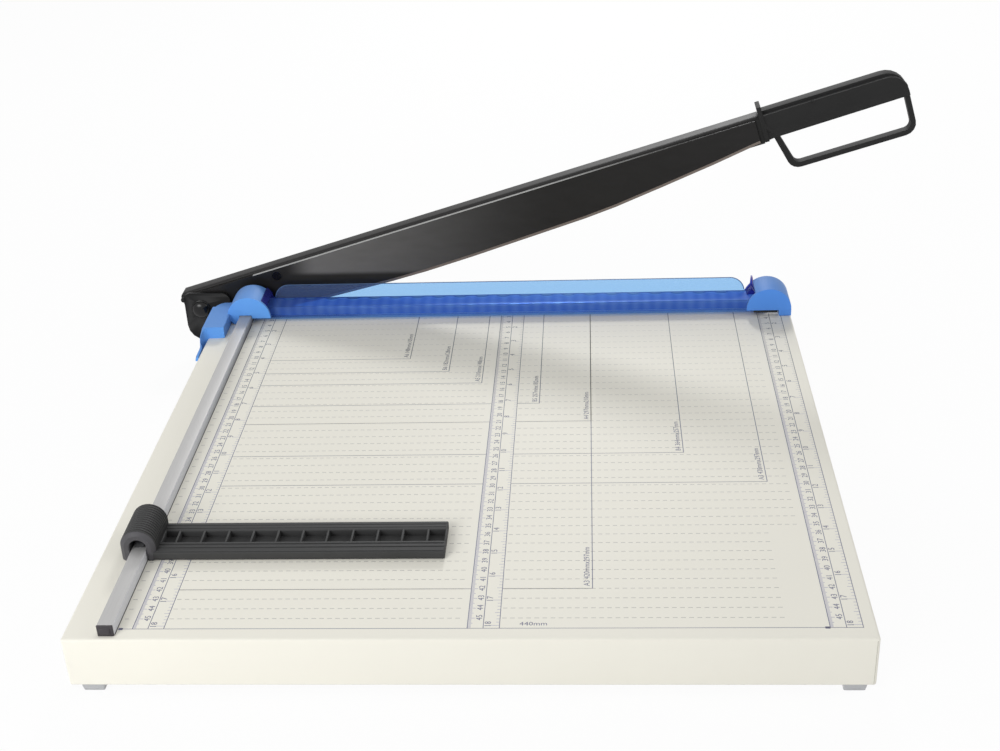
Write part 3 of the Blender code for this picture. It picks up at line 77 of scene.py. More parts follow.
knife_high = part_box("fixed_knife")[1]
bolt_low, bolt_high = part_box("pivot_bolt")
BED_ZERO = Vector((knife_high.x - BED_RIGHT * MM, knife_high.y, knife_high.z))
PIVOT = Vector(((bolt_low.x + bolt_high.x) / 2, knife_high.y, (bolt_low.z + bolt_high.z) / 2))
ON_BED = Matrix.Translation(BED_ZERO) @ Matrix.Scale(MM, 4)
ON_ARM = (
    Matrix.Translation(PIVOT)
    @ Matrix.Rotation(-math.radians(ARM_REST_ANGLE), 4, "Y")
    @ Matrix.Scale(MM, 4)
)

# How an outline stands: seen from the front, from the side, or lying flat
FACING_FRONT = Matrix(((1, 0, 0, 0), (0, 0, -1, 0), (0, 1, 0, 0), (0, 0, 0, 1)))
FACING_SIDE = Matrix(((0, 0, 1, 0), (1, 0, 0, 0), (0, 1, 0, 0), (0, 0, 0, 1)))
LYING = Matrix.Identity(4)


# Materials

# Sizes and places in materials are in metres.
COLOUR_A, COLOUR_B, COLOUR_OUT = 6, 7, 2  # the colour sockets of a Mix node
RIB_STEP = 0.0095
# Where the painted reflection on the knife fades out, and how wide the fade is.
REFLECTION_END, REFLECTION_WIDTH = BED_ZERO.x + 0.15, 0.25


class Shade:
    """A socket in a material. Sums written with it become Math nodes."""

    def __init__(self, socket):
        self.socket = socket

    def math(self, operation, *values):
        """A Math node with these values or links."""
        tree, settings = self.socket.id_data, {"operation": operation}
        return mix_in(tree, "ShaderNodeMath", settings, dict(enumerate(values)))

    def __add__(self, other):
        return self.math("ADD", self, other)

    def __sub__(self, other):
        return self.math("SUBTRACT", self, other)

    def __rsub__(self, other):
        return self.math("SUBTRACT", other, self)

    def __mul__(self, other):
        return self.math("MULTIPLY", self, other)

    __radd__ = __add__
    __rmul__ = __mul__

    def over(self, edge, width):
        """0 below an edge and 1 above it, with a soft step that wide."""
        return mix_in(
            self.socket.id_data,
            "ShaderNodeMapRange",
            {"interpolation_type": "SMOOTHSTEP"},
            {"Value": self, "From Min": edge - width / 2, "From Max": edge + width / 2},
        )


def mix_in(tree, kind, settings, values, output=0):
    """Adds a node: its settings first, then the values or links of its sockets."""
    made = tree.nodes.new(kind)
    for name, value in settings.items():
        setattr(made, name, value)
    for key, value in values.items():
        if isinstance(value, Shade):
            tree.links.new(value.socket, made.inputs[key])
        else:
            made.inputs[key].default_value = value
    return Shade(made.outputs[output])


def paint(red, green, blue):
    """A colour as it is seen on a screen, 0 to 255, made linear for a socket."""
    levels = [level / 255 for level in (red, green, blue)]
    return [
        level / 12.92 if level <= 0.04045 else ((level + 0.055) / 1.055) ** 2.4 for level in levels
    ] + [1.0]


class Finish:
    """A material in the making."""

    def __init__(self, name):
        self.material = bpy.data.materials.new(name)
        self.material.use_nodes = True
        self.tree = self.material.node_tree
        self.tree.nodes.clear()
        self.place = self.add("ShaderNodeTexCoord", {}, {}, "Object")

    def add(self, kind, settings, values, output=0):
        """A node in this material."""
        return mix_in(self.tree, kind, settings, values, output)

    def noise(self, size, detail=2.0, stretch=(1, 1, 1)):
        """Cloudy noise, 0 to 1, whose blotches are about this many metres across."""
        spread = self.add("ShaderNodeMapping", {}, {"Vector": self.place, "Scale": stretch})
        return self.add(
            "ShaderNodeTexNoise", {}, {"Vector": spread, "Scale": 1 / size, "Detail": detail}
        )

    def axis(self, name):
        """One coordinate of the surface, in metres."""
        return self.add("ShaderNodeSeparateXYZ", {}, {"Vector": self.place}, name)

    def blend(self, share, first, second):
        """The first colour where the share is 0, and the second where it is 1."""
        colours = {"Factor": share, COLOUR_A: first, COLOUR_B: second}
        return self.add("ShaderNodeMix", {"data_type": "RGBA"}, colours, COLOUR_OUT)

    def bump(self, height, depth, strength):
        """Fine relief, this many metres deep."""
        values = {"Height": height, "Distance": depth, "Strength": strength}
        return self.add("ShaderNodeBump", {}, values)

    def surface(self, values):
        """The shader of paint, plastic or metal."""
        return self.add("ShaderNodeBsdfPrincipled", {}, values)

    def over_pane(self, pane_colour, skin, share):
        """The material with a skin over a tinted pane that shows what is behind it."""
        pane = self.add("ShaderNodeBsdfTransparent", {}, {"Color": paint(*pane_colour)})
        return self.done(self.add("ShaderNodeMixShader", {}, {"Fac": share, 1: pane, 2: skin}))

    def done(self, shader):
        """The material with this shader."""
        out = self.tree.nodes.new("ShaderNodeOutputMaterial")
        self.tree.links.new(shader.socket, out.inputs["Surface"])
        return self.material

    def coat(self, values):
        """The material with one opaque surface."""
        return self.done(self.surface(values))


def cream_enamel():
    """Baked enamel on the bed: cream, with a faint orange peel, and a painted shade of the guard and
    arm that makes it greyer on top near the guard.
    """
    made = Finish("cream_enamel")
    cloud = made.noise(0.09)
    peel = made.noise(0.0025, 1.0)
    tone = made.blend(cloud, paint(241, 238, 226), paint(245, 242, 230))
    # Painted shade of the guard and the arm: greyer on the top near the guard, more so towards the
    # right.
    painted_shade = made.axis("Y").over(BED_ZERO.y - 0.07, 0.12)
    painted_shade = painted_shade * made.axis("X").over(BED_ZERO.x + 0.2, 0.3)
    painted_shade = painted_shade * made.axis("Z").over(BED_ZERO.z, 0.0004)
    return made.coat(
        {
            "Base Color": made.blend(painted_shade, tone, paint(190, 187, 179)),
            "Roughness": 0.5 + 0.08 * cloud,
            "Specular IOR Level": 0.3,
            "Normal": made.bump(peel, 0.00003, 0.5),
        }
    )


def printed_ink(name, colour, far_colour):
    """Ink of the print, worn a little thin in places, and another tone near the guard."""
    made = Finish(name)
    wear = made.noise(0.012, 4.0)
    far = made.axis("Y").over(BED_ZERO.y - 0.15, 0.2)
    tone = made.blend(far, paint(*colour), paint(*far_colour))
    return made.coat(
        {
            "Base Color": made.blend(0.16 * wear, tone, paint(230, 229, 222)),
            "Roughness": 0.5 + 0.1 * wear,
        }
    )


def blue_moulding(name, low, high):
    """The opaque blue plastic of the arches, with a painted sheen that makes it greyer where it is
    seen at a slant.
    """
    made = Finish(name)
    # Painted sheen: greyer where the surface is seen at a slant, in place of the sky's reflection.
    painted_sheen = 1.2 * made.add("ShaderNodeLayerWeight", {}, {"Blend": 0.5}, "Facing")
    cloud = made.noise(0.03)
    grain = made.noise(0.0008, 1.0)
    tone = made.blend(cloud, paint(*low), paint(*high))
    return made.coat(
        {
            "Base Color": made.blend(painted_sheen, tone, paint(96, 138, 198)),
            "Roughness": 0.54 + 0.06 * cloud,
            "Specular IOR Level": 0.35,
            "Normal": made.bump(grain, 0.00002, 0.4),
        }
    )


def rail_side():
    """The rail's right side, with painted light that makes it pale towards the front, and painted
    shade that makes it darker towards the guard and at its foot.
    """
    made = Finish("rail_side")
    streaks = made.noise(0.02, 2.0, (1, 0.02, 1))
    # Painted shade towards the guard, and painted shade low on the side, at the rail's foot.
    far = made.axis("Y").over(BED_ZERO.y - 0.22, 0.36)
    painted_light_tone = made.blend(streaks, paint(214, 215, 219), paint(222, 222, 226))
    height = made.axis("Z").over(BED_ZERO.z + 0.0045, 0.007)
    painted_shade_tone = made.blend(height, paint(118, 121, 128), paint(186, 189, 196))
    return made.coat(
        {
            "Base Color": made.blend(far, painted_light_tone, painted_shade_tone),
            "Roughness": 0.45 + 0.1 * streaks,
            "Metallic": 0.15,
        }
    )


def clear_blue(name, pane_colour, skin_low, skin_high, skin_share):
    """Clear blue plastic: a tinted pane that shows what is behind it, under a glossy skin."""
    made = Finish(name)
    cloud = made.noise(0.02)
    skin = made.surface(
        {
            "Base Color": made.blend(cloud, paint(*skin_low), paint(*skin_high)),
            "Roughness": 0.14 + 0.06 * cloud,
        }
    )
    return made.over_pane(pane_colour, skin, skin_share)


def ribbed_blue():
    """The thick clear bar, with stripes of painted shade where the ribs moulded inside it are seen
    through it.
    """
    made = Finish("thick_blue")
    cloud = made.noise(0.006, 3.0, (1, 0.5, 0.5))
    along = made.axis("X") * (math.tau / RIB_STEP)
    # Painted shade: stripes at the ribs' pitch, for the ribs seen through the bar.
    ribs = 0.5 + 0.35 * along.math("SINE", along) + 0.4 * (cloud - 0.5)
    skin = made.surface(
        {
            "Base Color": made.blend(ribs, paint(74, 113, 204), paint(101, 138, 219)),
            "Roughness": 0.3 + 0.1 * cloud,
            "Specular IOR Level": 0.12,
        }
    )
    return made.over_pane((146, 198, 249), skin, 0.52)


def satin_black(name, low, high, rough, grain=0.0007, depth=0.00003, shine=0.3):
    """Black paint or plastic whose tone and gloss wander a little."""
    made = Finish(name)
    cloud = made.noise(0.025, 3.0)
    fine = made.noise(grain, 1.0)
    return made.coat(
        {
            "Base Color": made.blend(cloud, paint(*low), paint(*high)),
            "Roughness": rough - 0.05 + 0.1 * cloud,
            "Specular IOR Level": shine,
            "Normal": made.bump(fine, depth, 0.6),
        }
    )


def blade_black():
    """The knife's black finish, with a painted reflection that makes it paler near the hinge, but
    dark just above the guard.
    """
    made = Finish("blade_black")
    cloud = made.noise(0.02, 3.0, (1, 1, 3))
    across, up = made.axis("X"), made.axis("Z")
    # Painted reflection: paler from near the hinge to the middle of the knife, and dark below the
    # guard's top, where the guard is reflected.
    painted_reflection = 1.0 - across.over(REFLECTION_END, REFLECTION_WIDTH)
    painted_reflection = painted_reflection * across.over(BED_ZERO.x + 0.042, 0.03) * up.over(BED_ZERO.z + 0.031, 0.005)
    dark = made.blend(cloud, paint(27, 26, 26), paint(36, 35, 35))
    reflected_tone = made.blend(cloud, paint(98, 97, 97), paint(112, 111, 111))
    return made.coat(
        {
            "Base Color": made.blend(painted_reflection, dark, reflected_tone),
            "Roughness": 0.3 + 0.08 * cloud,
            "Specular IOR Level": 0.22,
            "Normal": made.bump(made.noise(0.0007, 1.0, (0.05, 1, 1)), 0.00001, 0.5),
        }
    )


def bright_edge():
    """A painted highlight along the knife's top edge, which fades towards the handle."""
    made = Finish("bright_edge")
    lines = made.noise(0.0006, 2.0, (0.03, 1, 1))
    highlight_tone = made.blend(lines, paint(176, 176, 174), paint(196, 196, 194))
    highlight_fade = made.axis("X").over(BED_ZERO.x + 0.31, 0.16)
    return made.coat(
        {
            "Base Color": made.blend(highlight_fade, highlight_tone, paint(34, 33, 33)),
            "Roughness": 0.4 + 0.1 * lines,
        }
    )


def drawn_metal(name, colour, rough, stretch, metal=1.0):
    """Bare metal with fine lines along the way it was drawn or ground."""
    made = Finish(name)
    lines = made.noise(0.0006, 2.0, stretch)
    cloud = made.noise(0.03)
    return made.coat(
        {
            "Base Color": made.blend(lines, paint(*[c - 14 for c in colour]), paint(*colour)),
            "Metallic": metal,
            "Roughness": rough + 0.1 * lines + 0.06 * cloud,
            "Normal": made.bump(lines, 0.00001, 0.4),
        }
    )


ENAMEL = cream_enamel()
SEAM_SHADE = printed_ink("seam_shade", (186, 182, 168), (186, 182, 168))
INK = printed_ink("scale_ink", (92, 94, 126), (74, 78, 92))
EDGE_INK = printed_ink("outline_ink", (104, 104, 122), (104, 104, 112))
TICK_INK = printed_ink("tick_ink", (146, 146, 182), (150, 148, 156))
THIN_INK = printed_ink("dash_ink", (164, 162, 159), (193, 190, 185))
BLUE = blue_moulding("blue_moulding", (76, 142, 234), (84, 149, 238))
# Painted light: a paler copy of the blue for the left arch and its cover, which get more light from
# the front left.
LIT_LEFT_BLUE = blue_moulding("left_blue_moulding", (98, 168, 252), (104, 173, 254))
CLEAR = clear_blue("clear_blue", (205, 233, 253), (160, 178, 232), (170, 188, 238), 0.12)
THICK = ribbed_blue()
BOSS_BLUE = clear_blue("boss_blue", (116, 164, 232), (74, 120, 190), (86, 132, 200), 0.75)
GROOVE_BLUE = clear_blue("groove_blue", (100, 140, 220), (48, 86, 176), (58, 96, 186), 0.75)
HOLLOW = clear_blue("hollow_blue", (214, 226, 250), (84, 122, 226), (96, 134, 232), 0.08)
# Painted shade under the right arch, as a nearly opaque dark grey.
ARCH_SHADE = clear_blue("guard_foot_dark", (60, 60, 90), (42, 44, 44), (56, 58, 58), 0.85)
DEEP = clear_blue("deep_blue", (140, 156, 232), (54, 60, 150), (68, 74, 168), 0.45)
VIOLET = clear_blue("violet_edge", (214, 206, 232), (150, 130, 176), (186, 170, 204), 0.7)
RIM = clear_blue("frosted_rim", (190, 206, 226), (132, 148, 172), (146, 160, 182), 0.6)
ARM_PAINT = satin_black("arm_paint", (24, 23, 23), (31, 30, 30), 0.53, shine=0.29)
BRACKET_BLACK = satin_black("bracket_black", (12, 12, 13), (18, 18, 19), 0.46, shine=0.18)
BLADE_BLACK = blade_black()
GRIP_BLACK = satin_black("grip_black", (35, 35, 35), (44, 44, 44), 0.62, shine=0.16)
GAUGE_GREY = satin_black("gauge_grey", (55, 55, 55), (68, 68, 68), 0.6, 0.0006, 0.00005, 0.25)
# Painted light: a paler copy of the gauge's grey for the head's front face.
LIT_GAUGE_FACE = satin_black("gauge_face", (74, 73, 76), (86, 85, 88), 0.55, 0.0006, 0.00005, 0.3)
SPRING_DARK = satin_black("spring_dark", (40, 40, 42), (52, 52, 54), 0.4)
CAP_BLACK = satin_black("cap_black", (54, 51, 54), (72, 68, 71), 0.5)
SCREW_BLACK = satin_black("screw_black", (10, 10, 11), (18, 18, 19), 0.16, shine=0.32)
RAIL_METAL = drawn_metal("rail_metal", (194, 193, 192), 0.46, (1, 0.02, 1), 0.5)
LIT_RAIL_SIDE = rail_side()
GROUND = drawn_metal("ground_steel", (190, 190, 192), 0.26, (0.03, 1, 1))
BEVEL_STEEL = drawn_metal("bevel_steel", (132, 122, 116), 0.34, (0.03, 1, 1), 0.7)
HIGHLIGHT_EDGE = bright_edge()
STEEL = drawn_metal("bare_steel", (176, 176, 178), 0.34, (1, 1, 0.1))
FOOT_GREY = drawn_metal("foot_grey", (192, 193, 195), 0.45, (1, 1, 1), 0.2)


# Shapes

STANDS = {"arm": ON_ARM}  # every other body stands on the bed
FLAT = math.radians(0.6)  # faces that meet at less than this become one
WELD = 0.001


def set_out(name, data):
    """A new object in the scene."""
    made = bpy.data.objects.new(name, data)
    bpy.context.scene.collection.objects.link(made)
    return made


def settled(made):
    """The mesh that an object comes to with its modifiers, in place of the object."""
    graph = bpy.context.evaluated_depsgraph_get()
    mesh = bpy.data.meshes.new_from_object(made.evaluated_get(graph))
    bpy.data.objects.remove(made)
    return mesh


def smooth(mesh, angle):
    """Rounds the shading, but for edges that are sharper than this angle."""
    mesh.shade_smooth()
    mesh.set_sharp_from_angle(angle=math.radians(angle))


def piece(name, mesh, surface, body, replaced=(), edge=0.0, steps=2, angle=32):
    """Sets a mesh, in millimetres, on the bed or the arm, with its edges broken."""
    if edge:
        sharp = set_out("sharp", mesh)
        bevel = sharp.modifiers.new("broken_edges", "BEVEL")
        bevel.width = edge
        bevel.segments = steps
        bevel.limit_method = "ANGLE"
        bevel.angle_limit = math.radians(angle)
        bevel.use_clamp_overlap = True
        mesh = settled(sharp)
    mesh.transform(STANDS.get(body, ON_BED))
    smooth(mesh, angle + 8)
    mesh.materials.clear()
    mesh.materials.append(surface)
    mesh.name = name
    made = set_out(name, mesh)
    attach(made, body)
    if replaced:
        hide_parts(*replaced)
    return made


def mesh_from(shape):
    """The mesh of a shape in the making."""
    mesh = bpy.data.meshes.new("shape")
    shape.to_mesh(mesh)
    shape.free()
    return mesh


def node_mesh(node, body="base"):
    """A CAD node's mesh in millimetres, with the flat faces that were cut up joined again."""
    stand = STANDS.get(body, ON_BED)
    shape = bmesh.new()
    shape.from_mesh(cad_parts[node].data)
    bmesh.ops.transform(shape, matrix=stand.inverted(), verts=shape.verts)
    bmesh.ops.remove_doubles(shape, verts=shape.verts, dist=2 * WELD)
    bmesh.ops.dissolve_limit(shape, angle_limit=FLAT, verts=shape.verts, edges=shape.edges)
    return mesh_from(shape)


def dress(node, surface, edge):
    """A base node's own shape with broken edges and a finish."""
    return piece(f"{node}_look", node_mesh(node), surface, "base", (node,), edge)


def arc(centre, radius, start, end, steps):
    """Points on a circle, between two angles in degrees."""
    turn = [math.radians(start + (end - start) * i / steps) for i in range(steps + 1)]
    return [(centre[0] + radius * math.cos(t), centre[1] + radius * math.sin(t)) for t in turn]


def rounded(corners, steps):
    """An outline whose corners are given as x, y and the radius they are rounded to."""
    outline = []
    for i, (x, y, radius) in enumerate(corners):
        here = Vector((x, y))
        if not radius:
            outline.append((x, y))
            continue
        back = (Vector(corners[i - 1][:2]) - here).normalized()
        on = (Vector(corners[(i + 1) % len(corners)][:2]) - here).normalized()
        half = back.angle(on) / 2
        centre = here + (back + on).normalized() * (radius / math.sin(half))
        start = here + back * (radius / math.tan(half)) - centre
        end = here + on * (radius / math.tan(half)) - centre
        turn = math.atan2(start.x * end.y - start.y * end.x, start.dot(end))
        for j in range(steps + 1):
            outline.append(tuple(centre + Matrix.Rotation(turn * j / steps, 2) @ start))
    return outline


def cut_block(low, high, edge, steps):
    """A block in the making, with its edges broken."""
    shape = bmesh.new()
    bmesh.ops.create_cube(shape, size=1)
    for vert in shape.verts:
        vert.co = Vector([(low[i] + high[i]) / 2 + vert.co[i] * (high[i] - low[i]) for i in range(3)])
    if edge:
        bmesh.ops.bevel(
            shape, geom=shape.edges[:], offset=edge, segments=steps, affect="EDGES", profile=0.5
        )
    return shape


def block(low, high, edge=0.0, steps=2):
    """A block with its edges broken."""
    return mesh_from(cut_block(low, high, edge, steps))


def lofted(rings, ends="flat"):
    """A skin over rings of points. Its ends are flat faces, or strips where rings fold back."""
    shape = bmesh.new()
    made = [[shape.verts.new(point) for point in ring] for ring in rings]
    count = len(rings[0])
    for ring, after in zip(made, made[1:]):
        for i in range(count):
            j = (i + 1) % count
            shape.faces.new((ring[i], ring[j], after[j], after[i]))
    for ring in (made[0], made[-1]):
        if ends == "flat":
            shape.faces.new(ring)
        else:
            for i in range(count // 2 - 1):
                shape.faces.new((ring[i], ring[i + 1], ring[count - 2 - i], ring[count - 1 - i]))
    bmesh.ops.recalc_face_normals(shape, faces=shape.faces)
    return mesh_from(shape)


def turned(profile, place, facing, steps):
    """A round piece: radii and heights turned about an axis."""
    shape = bmesh.new()
    stand = Matrix.Translation(place) @ facing
    turns = [math.tau * i / steps for i in range(steps)]
    rings = []
    for radius, height in profile:
        ring = [(radius * math.cos(t), radius * math.sin(t), height) for t in turns]
        spots = ring if radius else ring[:1]
        rings.append([shape.verts.new(stand @ Vector(spot)) for spot in spots])
    for ring, after in zip(rings, rings[1:]):
        for i in range(steps):
            j = (i + 1) % steps
            corners = [row[k % len(row)] for row, k in ((ring, i), (ring, j), (after, j), (after, i))]
            shape.faces.new(list(dict.fromkeys(corners)))
    bmesh.ops.recalc_face_normals(shape, faces=shape.faces)
    return mesh_from(shape)


def joined(*meshes):
    """Several meshes in one."""
    shape = bmesh.new()
    for mesh in meshes:
        shape.from_mesh(mesh)
        bpy.data.meshes.remove(mesh)
    return mesh_from(shape)


def carved(mesh, tool, operation="DIFFERENCE"):
    """A mesh with another cut from it, or melted into it."""
    made, cutter = set_out("work", mesh), set_out("tool", tool)
    cut = made.modifiers.new("cut", "BOOLEAN")
    cut.operation = operation
    cut.solver = "EXACT"
    cut.object = cutter
    result = settled(made)
    bpy.data.objects.remove(cutter)
    return result


def plate(outline, thickness, place, facing=FACING_FRONT):
    """A flat plate with this outline, its middle at a place."""
    curve = bpy.data.curves.new("outline", "CURVE")
    curve.dimensions = "2D"
    curve.fill_mode = "BOTH"
    curve.extrude = thickness / 2
    spline = curve.splines.new("POLY")
    spline.points.add(len(outline) - 1)
    for point, (x, y) in zip(spline.points, outline):
        point.co = (x, y, 0, 1)
    spline.use_cyclic_u = True
    shape = bmesh.new()
    shape.from_mesh(settled(set_out("outline", curve)))
    bmesh.ops.remove_doubles(shape, verts=shape.verts, dist=WELD)
    bmesh.ops.transform(shape, matrix=Matrix.Translation(place) @ facing, verts=shape.verts)
    bmesh.ops.recalc_face_normals(shape, faces=shape.faces)
    bmesh.ops.dissolve_limit(shape, angle_limit=FLAT, verts=shape.verts, edges=shape.edges)
    return mesh_from(shape)


# Bed


def bed():
    """The folded sheet: five sides with rounded folds, and a flange turned in below."""
    low, high = (BED_LEFT, BED_FRONT, -BED_HEIGHT), (BED_RIGHT, BED_BACK, 0)
    shape = cut_block(low, high, BED_FOLD, BED_FOLD_STEPS)
    shape.normal_update()
    underside = [face for face in shape.faces if face.normal.z < -0.99]
    bmesh.ops.inset_region(shape, faces=underside, thickness=BED_FLANGE, use_even_offset=True)
    shape.normal_update()
    mouth = [face for face in underside if face.is_valid]
    bmesh.ops.delete(shape, geom=mouth, context="FACES")
    sheet = set_out("sheet", mesh_from(shape))
    wall = sheet.modifiers.new("wall", "SOLIDIFY")
    wall.thickness = BED_SHEET
    wall.offset = -1
    folded = settled(sheet)
    piece("bed_sheet", folded, ENAMEL, "base", ("base_tray",), angle=40)


# Print on the bed

SCALES = (11.0, 220.0, 440.0)
SCALE_STEP = (0.0, 9.8, 19.8)
PRINT_START, PRINT_END = 27.0, 460.0  # from the guard's front edge to the last line
PRINT_LOW, PRINT_HIGH = 0.01, 0.05
CM_HEIGHT, INCH_HEIGHT, LABEL_HEIGHT = 4.0, 4.1, 3.9
CENTIMETRES, INCHES, INCH = range(3, 46), range(2, 19), 25.4
CM_LENGTHS, CM_WIDTH = (4.2, 3.0, 2.1), 0.34
EIGHTHS, EIGHTH_LENGTHS, EIGHTH_WIDTH = range(9, 18 * 8 + 1), (6.0, 3.4, 2.2), 0.25
SCALE_WIDTH, END_WIDTH, SIDE_WIDTH, FRONT_WIDTH = 0.45, 0.4, 0.54, 0.44
DASH, DASH_STEP, DASH_WIDTH = 2.9, 5.0, 0.38
FIRST_SHORT_ROW, SHORTER_BY = 36, 20
CAP_SHARE = 0.72  # how high a capital stands in the size of its type
SHEET_SIZES = (
    ("A6", 148, 105),
    ("B6", 182, 128),
    ("A5", 210, 148),
    ("B5", 257, 182),
    ("A4", 297, 210),
    ("B4", 364, 257),
    ("A3", 420, 297),
    ("A3", 297, 420),
)


class Print:
    """Ink laid down as thin bars and letters."""

    def __init__(self):
        self.shape = bmesh.new()

    def bar(self, x0, v0, x1, v1):
        """A bar between two corners; v runs from the cut towards the front."""
        bars = [
            [self.shape.verts.new((x, -v, z)) for x, v in ((x0, v0), (x0, v1), (x1, v1), (x1, v0))]
            for z in (PRINT_LOW, PRINT_HIGH)
        ]
        self.shape.faces.new(bars[1])
        self.shape.faces.new(bars[0][::-1])
        for i in range(4):
            j = (i + 1) % 4
            self.shape.faces.new((bars[0][i], bars[0][j], bars[1][j], bars[1][i]))

    def across(self, x0, x1, v, width):
        """A line from left to right."""
        self.bar(x0, v - width / 2, x1, v + width / 2)

    def along(self, x, v0, v1, width):
        """A line from the cut towards the front."""
        self.bar(x - width / 2, v0, x + width / 2, v1)

    def words(self, text, x, v, height, to_back=True, align="CENTER", squeeze=1.0):
        """Text that reads towards the back, or else to the right."""
        curve = bpy.data.curves.new("words", "FONT")
        curve.body = text
        curve.size = height / CAP_SHARE
        curve.align_x = align
        curve.align_y = "CENTER"
        curve.resolution_u = 2
        curve.extrude = (PRINT_HIGH - PRINT_LOW) / 2
        mesh = settled(set_out("words", curve))
        turn = Matrix.Rotation(math.pi / 2 if to_back else 0, 4, "Z")
        squeezed = Matrix.Diagonal((squeeze, 1, 1, 1))
        middle = Matrix.Translation((x, -v, (PRINT_LOW + PRINT_HIGH) / 2))
        mesh.transform(middle @ turn @ squeezed)
        self.shape.from_mesh(mesh)
        bpy.data.meshes.remove(mesh)

    def laid(self, name, surface):
        """All that was drawn, as one piece."""
        bmesh.ops.recalc_face_normals(self.shape, faces=self.shape.faces)
        piece(name, mesh_from(self.shape), surface, "base")


def tick(lengths, count, long, middle):
    """A tick's length: long at every so many, shorter at every middle one, short at the rest."""
    return lengths[0 if count % long == 0 else 1 if count % middle == 0 else 2]


def bed_scale(ink, band, x):
    """Three long lines with millimetres and centimetres, and inches beside them."""
    for step in SCALE_STEP:
        ink.along(x + step, PRINT_START, PRINT_END, SCALE_WIDTH)
    for v in range(int(PRINT_START) + 1, int(PRINT_END)):
        band.across(x + 0.2, x + tick(CM_LENGTHS, v, 10, 5), v, CM_WIDTH)
    for centimetre in CENTIMETRES:
        ink.words(str(centimetre), x + 7.0, centimetre * 10 - 0.7, CM_HEIGHT)
    right = x + SCALE_STEP[2]
    for eighth in EIGHTHS:
        left = right - tick(EIGHTH_LENGTHS, eighth, 8, 4)
        band.across(left, right - 0.2, eighth * INCH / 8, EIGHTH_WIDTH)
    for inch in INCHES:
        ink.words(str(inch), x + SCALE_STEP[1] + 2.9, inch * INCH - 1.2, INCH_HEIGHT)


def dashed_rows(dashes):
    """A dashed line at each centimetre, shorter on the right in the front rows."""
    spans = (
        (2.2, SCALES[0]),
        (SCALES[0] + SCALE_STEP[2], SCALES[1]),
        (SCALES[1] + SCALE_STEP[2], SCALES[2] - 4.0),
    )
    for centimetre in CENTIMETRES:
        for start, end in spans:
            short = centimetre >= FIRST_SHORT_ROW and end > SCALES[1]
            stop = end - SHORTER_BY if short else end
            for i in range(int((stop - start - 1) / DASH_STEP)):
                left = start + 1.2 + i * DASH_STEP
                dashes.across(left, left + DASH, centimetre * 10, DASH_WIDTH)


def paper_sizes(ink, outline):
    """Two sides of each paper size that is laid against the scale's zero, and its name."""
    left = SCALES[0] + SCALE_STEP[2]
    for name, width, depth in SHEET_SIZES:
        ink.along(width, PRINT_START, depth, SIDE_WIDTH)
        for start, end in ((left, SCALES[1]), (SCALES[1] + SCALE_STEP[2], width)):
            if min(end, width) > start:
                outline.across(start, min(end, width), depth, FRONT_WIDTH)
        label = f"{name} {max(width, depth)}mmx{min(width, depth)}mm"
        ink.words(label, width - 3.5, depth - 2.5, LABEL_HEIGHT, align="LEFT", squeeze=0.98)


def bed_print():
    """All the print on the bed, in one piece for each tone of ink."""
    ink, band, dashes, outline = Print(), Print(), Print(), Print()
    for x in SCALES:
        bed_scale(ink, band, x)
    dashed_rows(dashes)
    paper_sizes(ink, outline)
    ink.across(3.0, SCALES[2] + SCALE_STEP[2], PRINT_END, END_WIDTH)
    for tip, back in ((2.2, 5.0), (SCALES[2], SCALES[2] - 3.0)):
        ink.bar(back, PRINT_END - 1.0, tip, PRINT_END + 1.0)
    ink.words("440mm", 260.6, 455.8, 3.6, to_back=False, squeeze=1.14)
    ink.laid("scale_print", INK)
    band.laid("tick_print", TICK_INK)
    dashes.laid("dash_print", THIN_INK)
    outline.laid("outline_print", EDGE_INK)


def seam():
    """The line where the sheet's front and right side meet at their fold, as a thin strip of painted
    shade.
    """
    left, front = BED_RIGHT - 1.9, BED_FRONT - 0.06
    low, high = (left, front, BED_FOLD - BED_HEIGHT), (left + 0.35, front + 0.26, -BED_FOLD - 0.1)
    piece("corner_seam", block(low, high, 0.05, 1), SEAM_SHADE, "base")


bed()
bed_print()
seam()


# Gauge

GAUGE_BACK, GAUGE_DEPTH = -352.9, 35.2
HEAD_X, HEAD_Z, HEAD_RADIUS = -3.7, 10.5, 12.0
BORE_X, BORE_RADIUS = -3.5, 5.8
GAUGE_FOOT = 0.3
RINGS = 13
BEAM_FRONT, BEAM_REAR = GAUGE_BACK - GAUGE_DEPTH + 0.2, GAUGE_BACK + 0.2
BEAM_LEFT, BEAM_RIGHT, BEAM_TOP = HEAD_X + 9.0, 200.4, 6.4
POCKET_FRONT, POCKET_BACK = GAUGE_BACK - 22.5, GAUGE_BACK - 9.5
RIB_PITCH, LAST_RIB, RIBS = 16.92, 187.7, 11
# The ridges along the arm: place in front of its back, width and rise
RIDGES = ((24.9, 0.9, 0.5), (28.9, 0.9, 0.5), (33.6, 1.1, 0.5), (3.0, 0.7, 0.3), (6.4, 0.7, 0.3))


def head_ring(y, inset, bore=BORE_RADIUS):
    """The head's section: an arch outside, and the bore's arch back again inside."""
    radius = HEAD_RADIUS - inset
    outer = [(HEAD_X - radius, GAUGE_FOOT), (HEAD_X - radius, 5.0)]
    outer += arc((HEAD_X, HEAD_Z), radius, 180, 0, 32)
    outer += [(HEAD_X + radius, 5.0), (HEAD_X + radius, GAUGE_FOOT)]
    inner = [(BORE_X + bore, GAUGE_FOOT), (BORE_X + bore, 5.0)]
    inner += arc((BORE_X, HEAD_Z), bore, 0, 180, 32)
    inner += [(BORE_X - bore, 5.0), (BORE_X - bore, GAUGE_FOOT)]
    return [(x, GAUGE_BACK + y, z) for x, z in outer + inner]


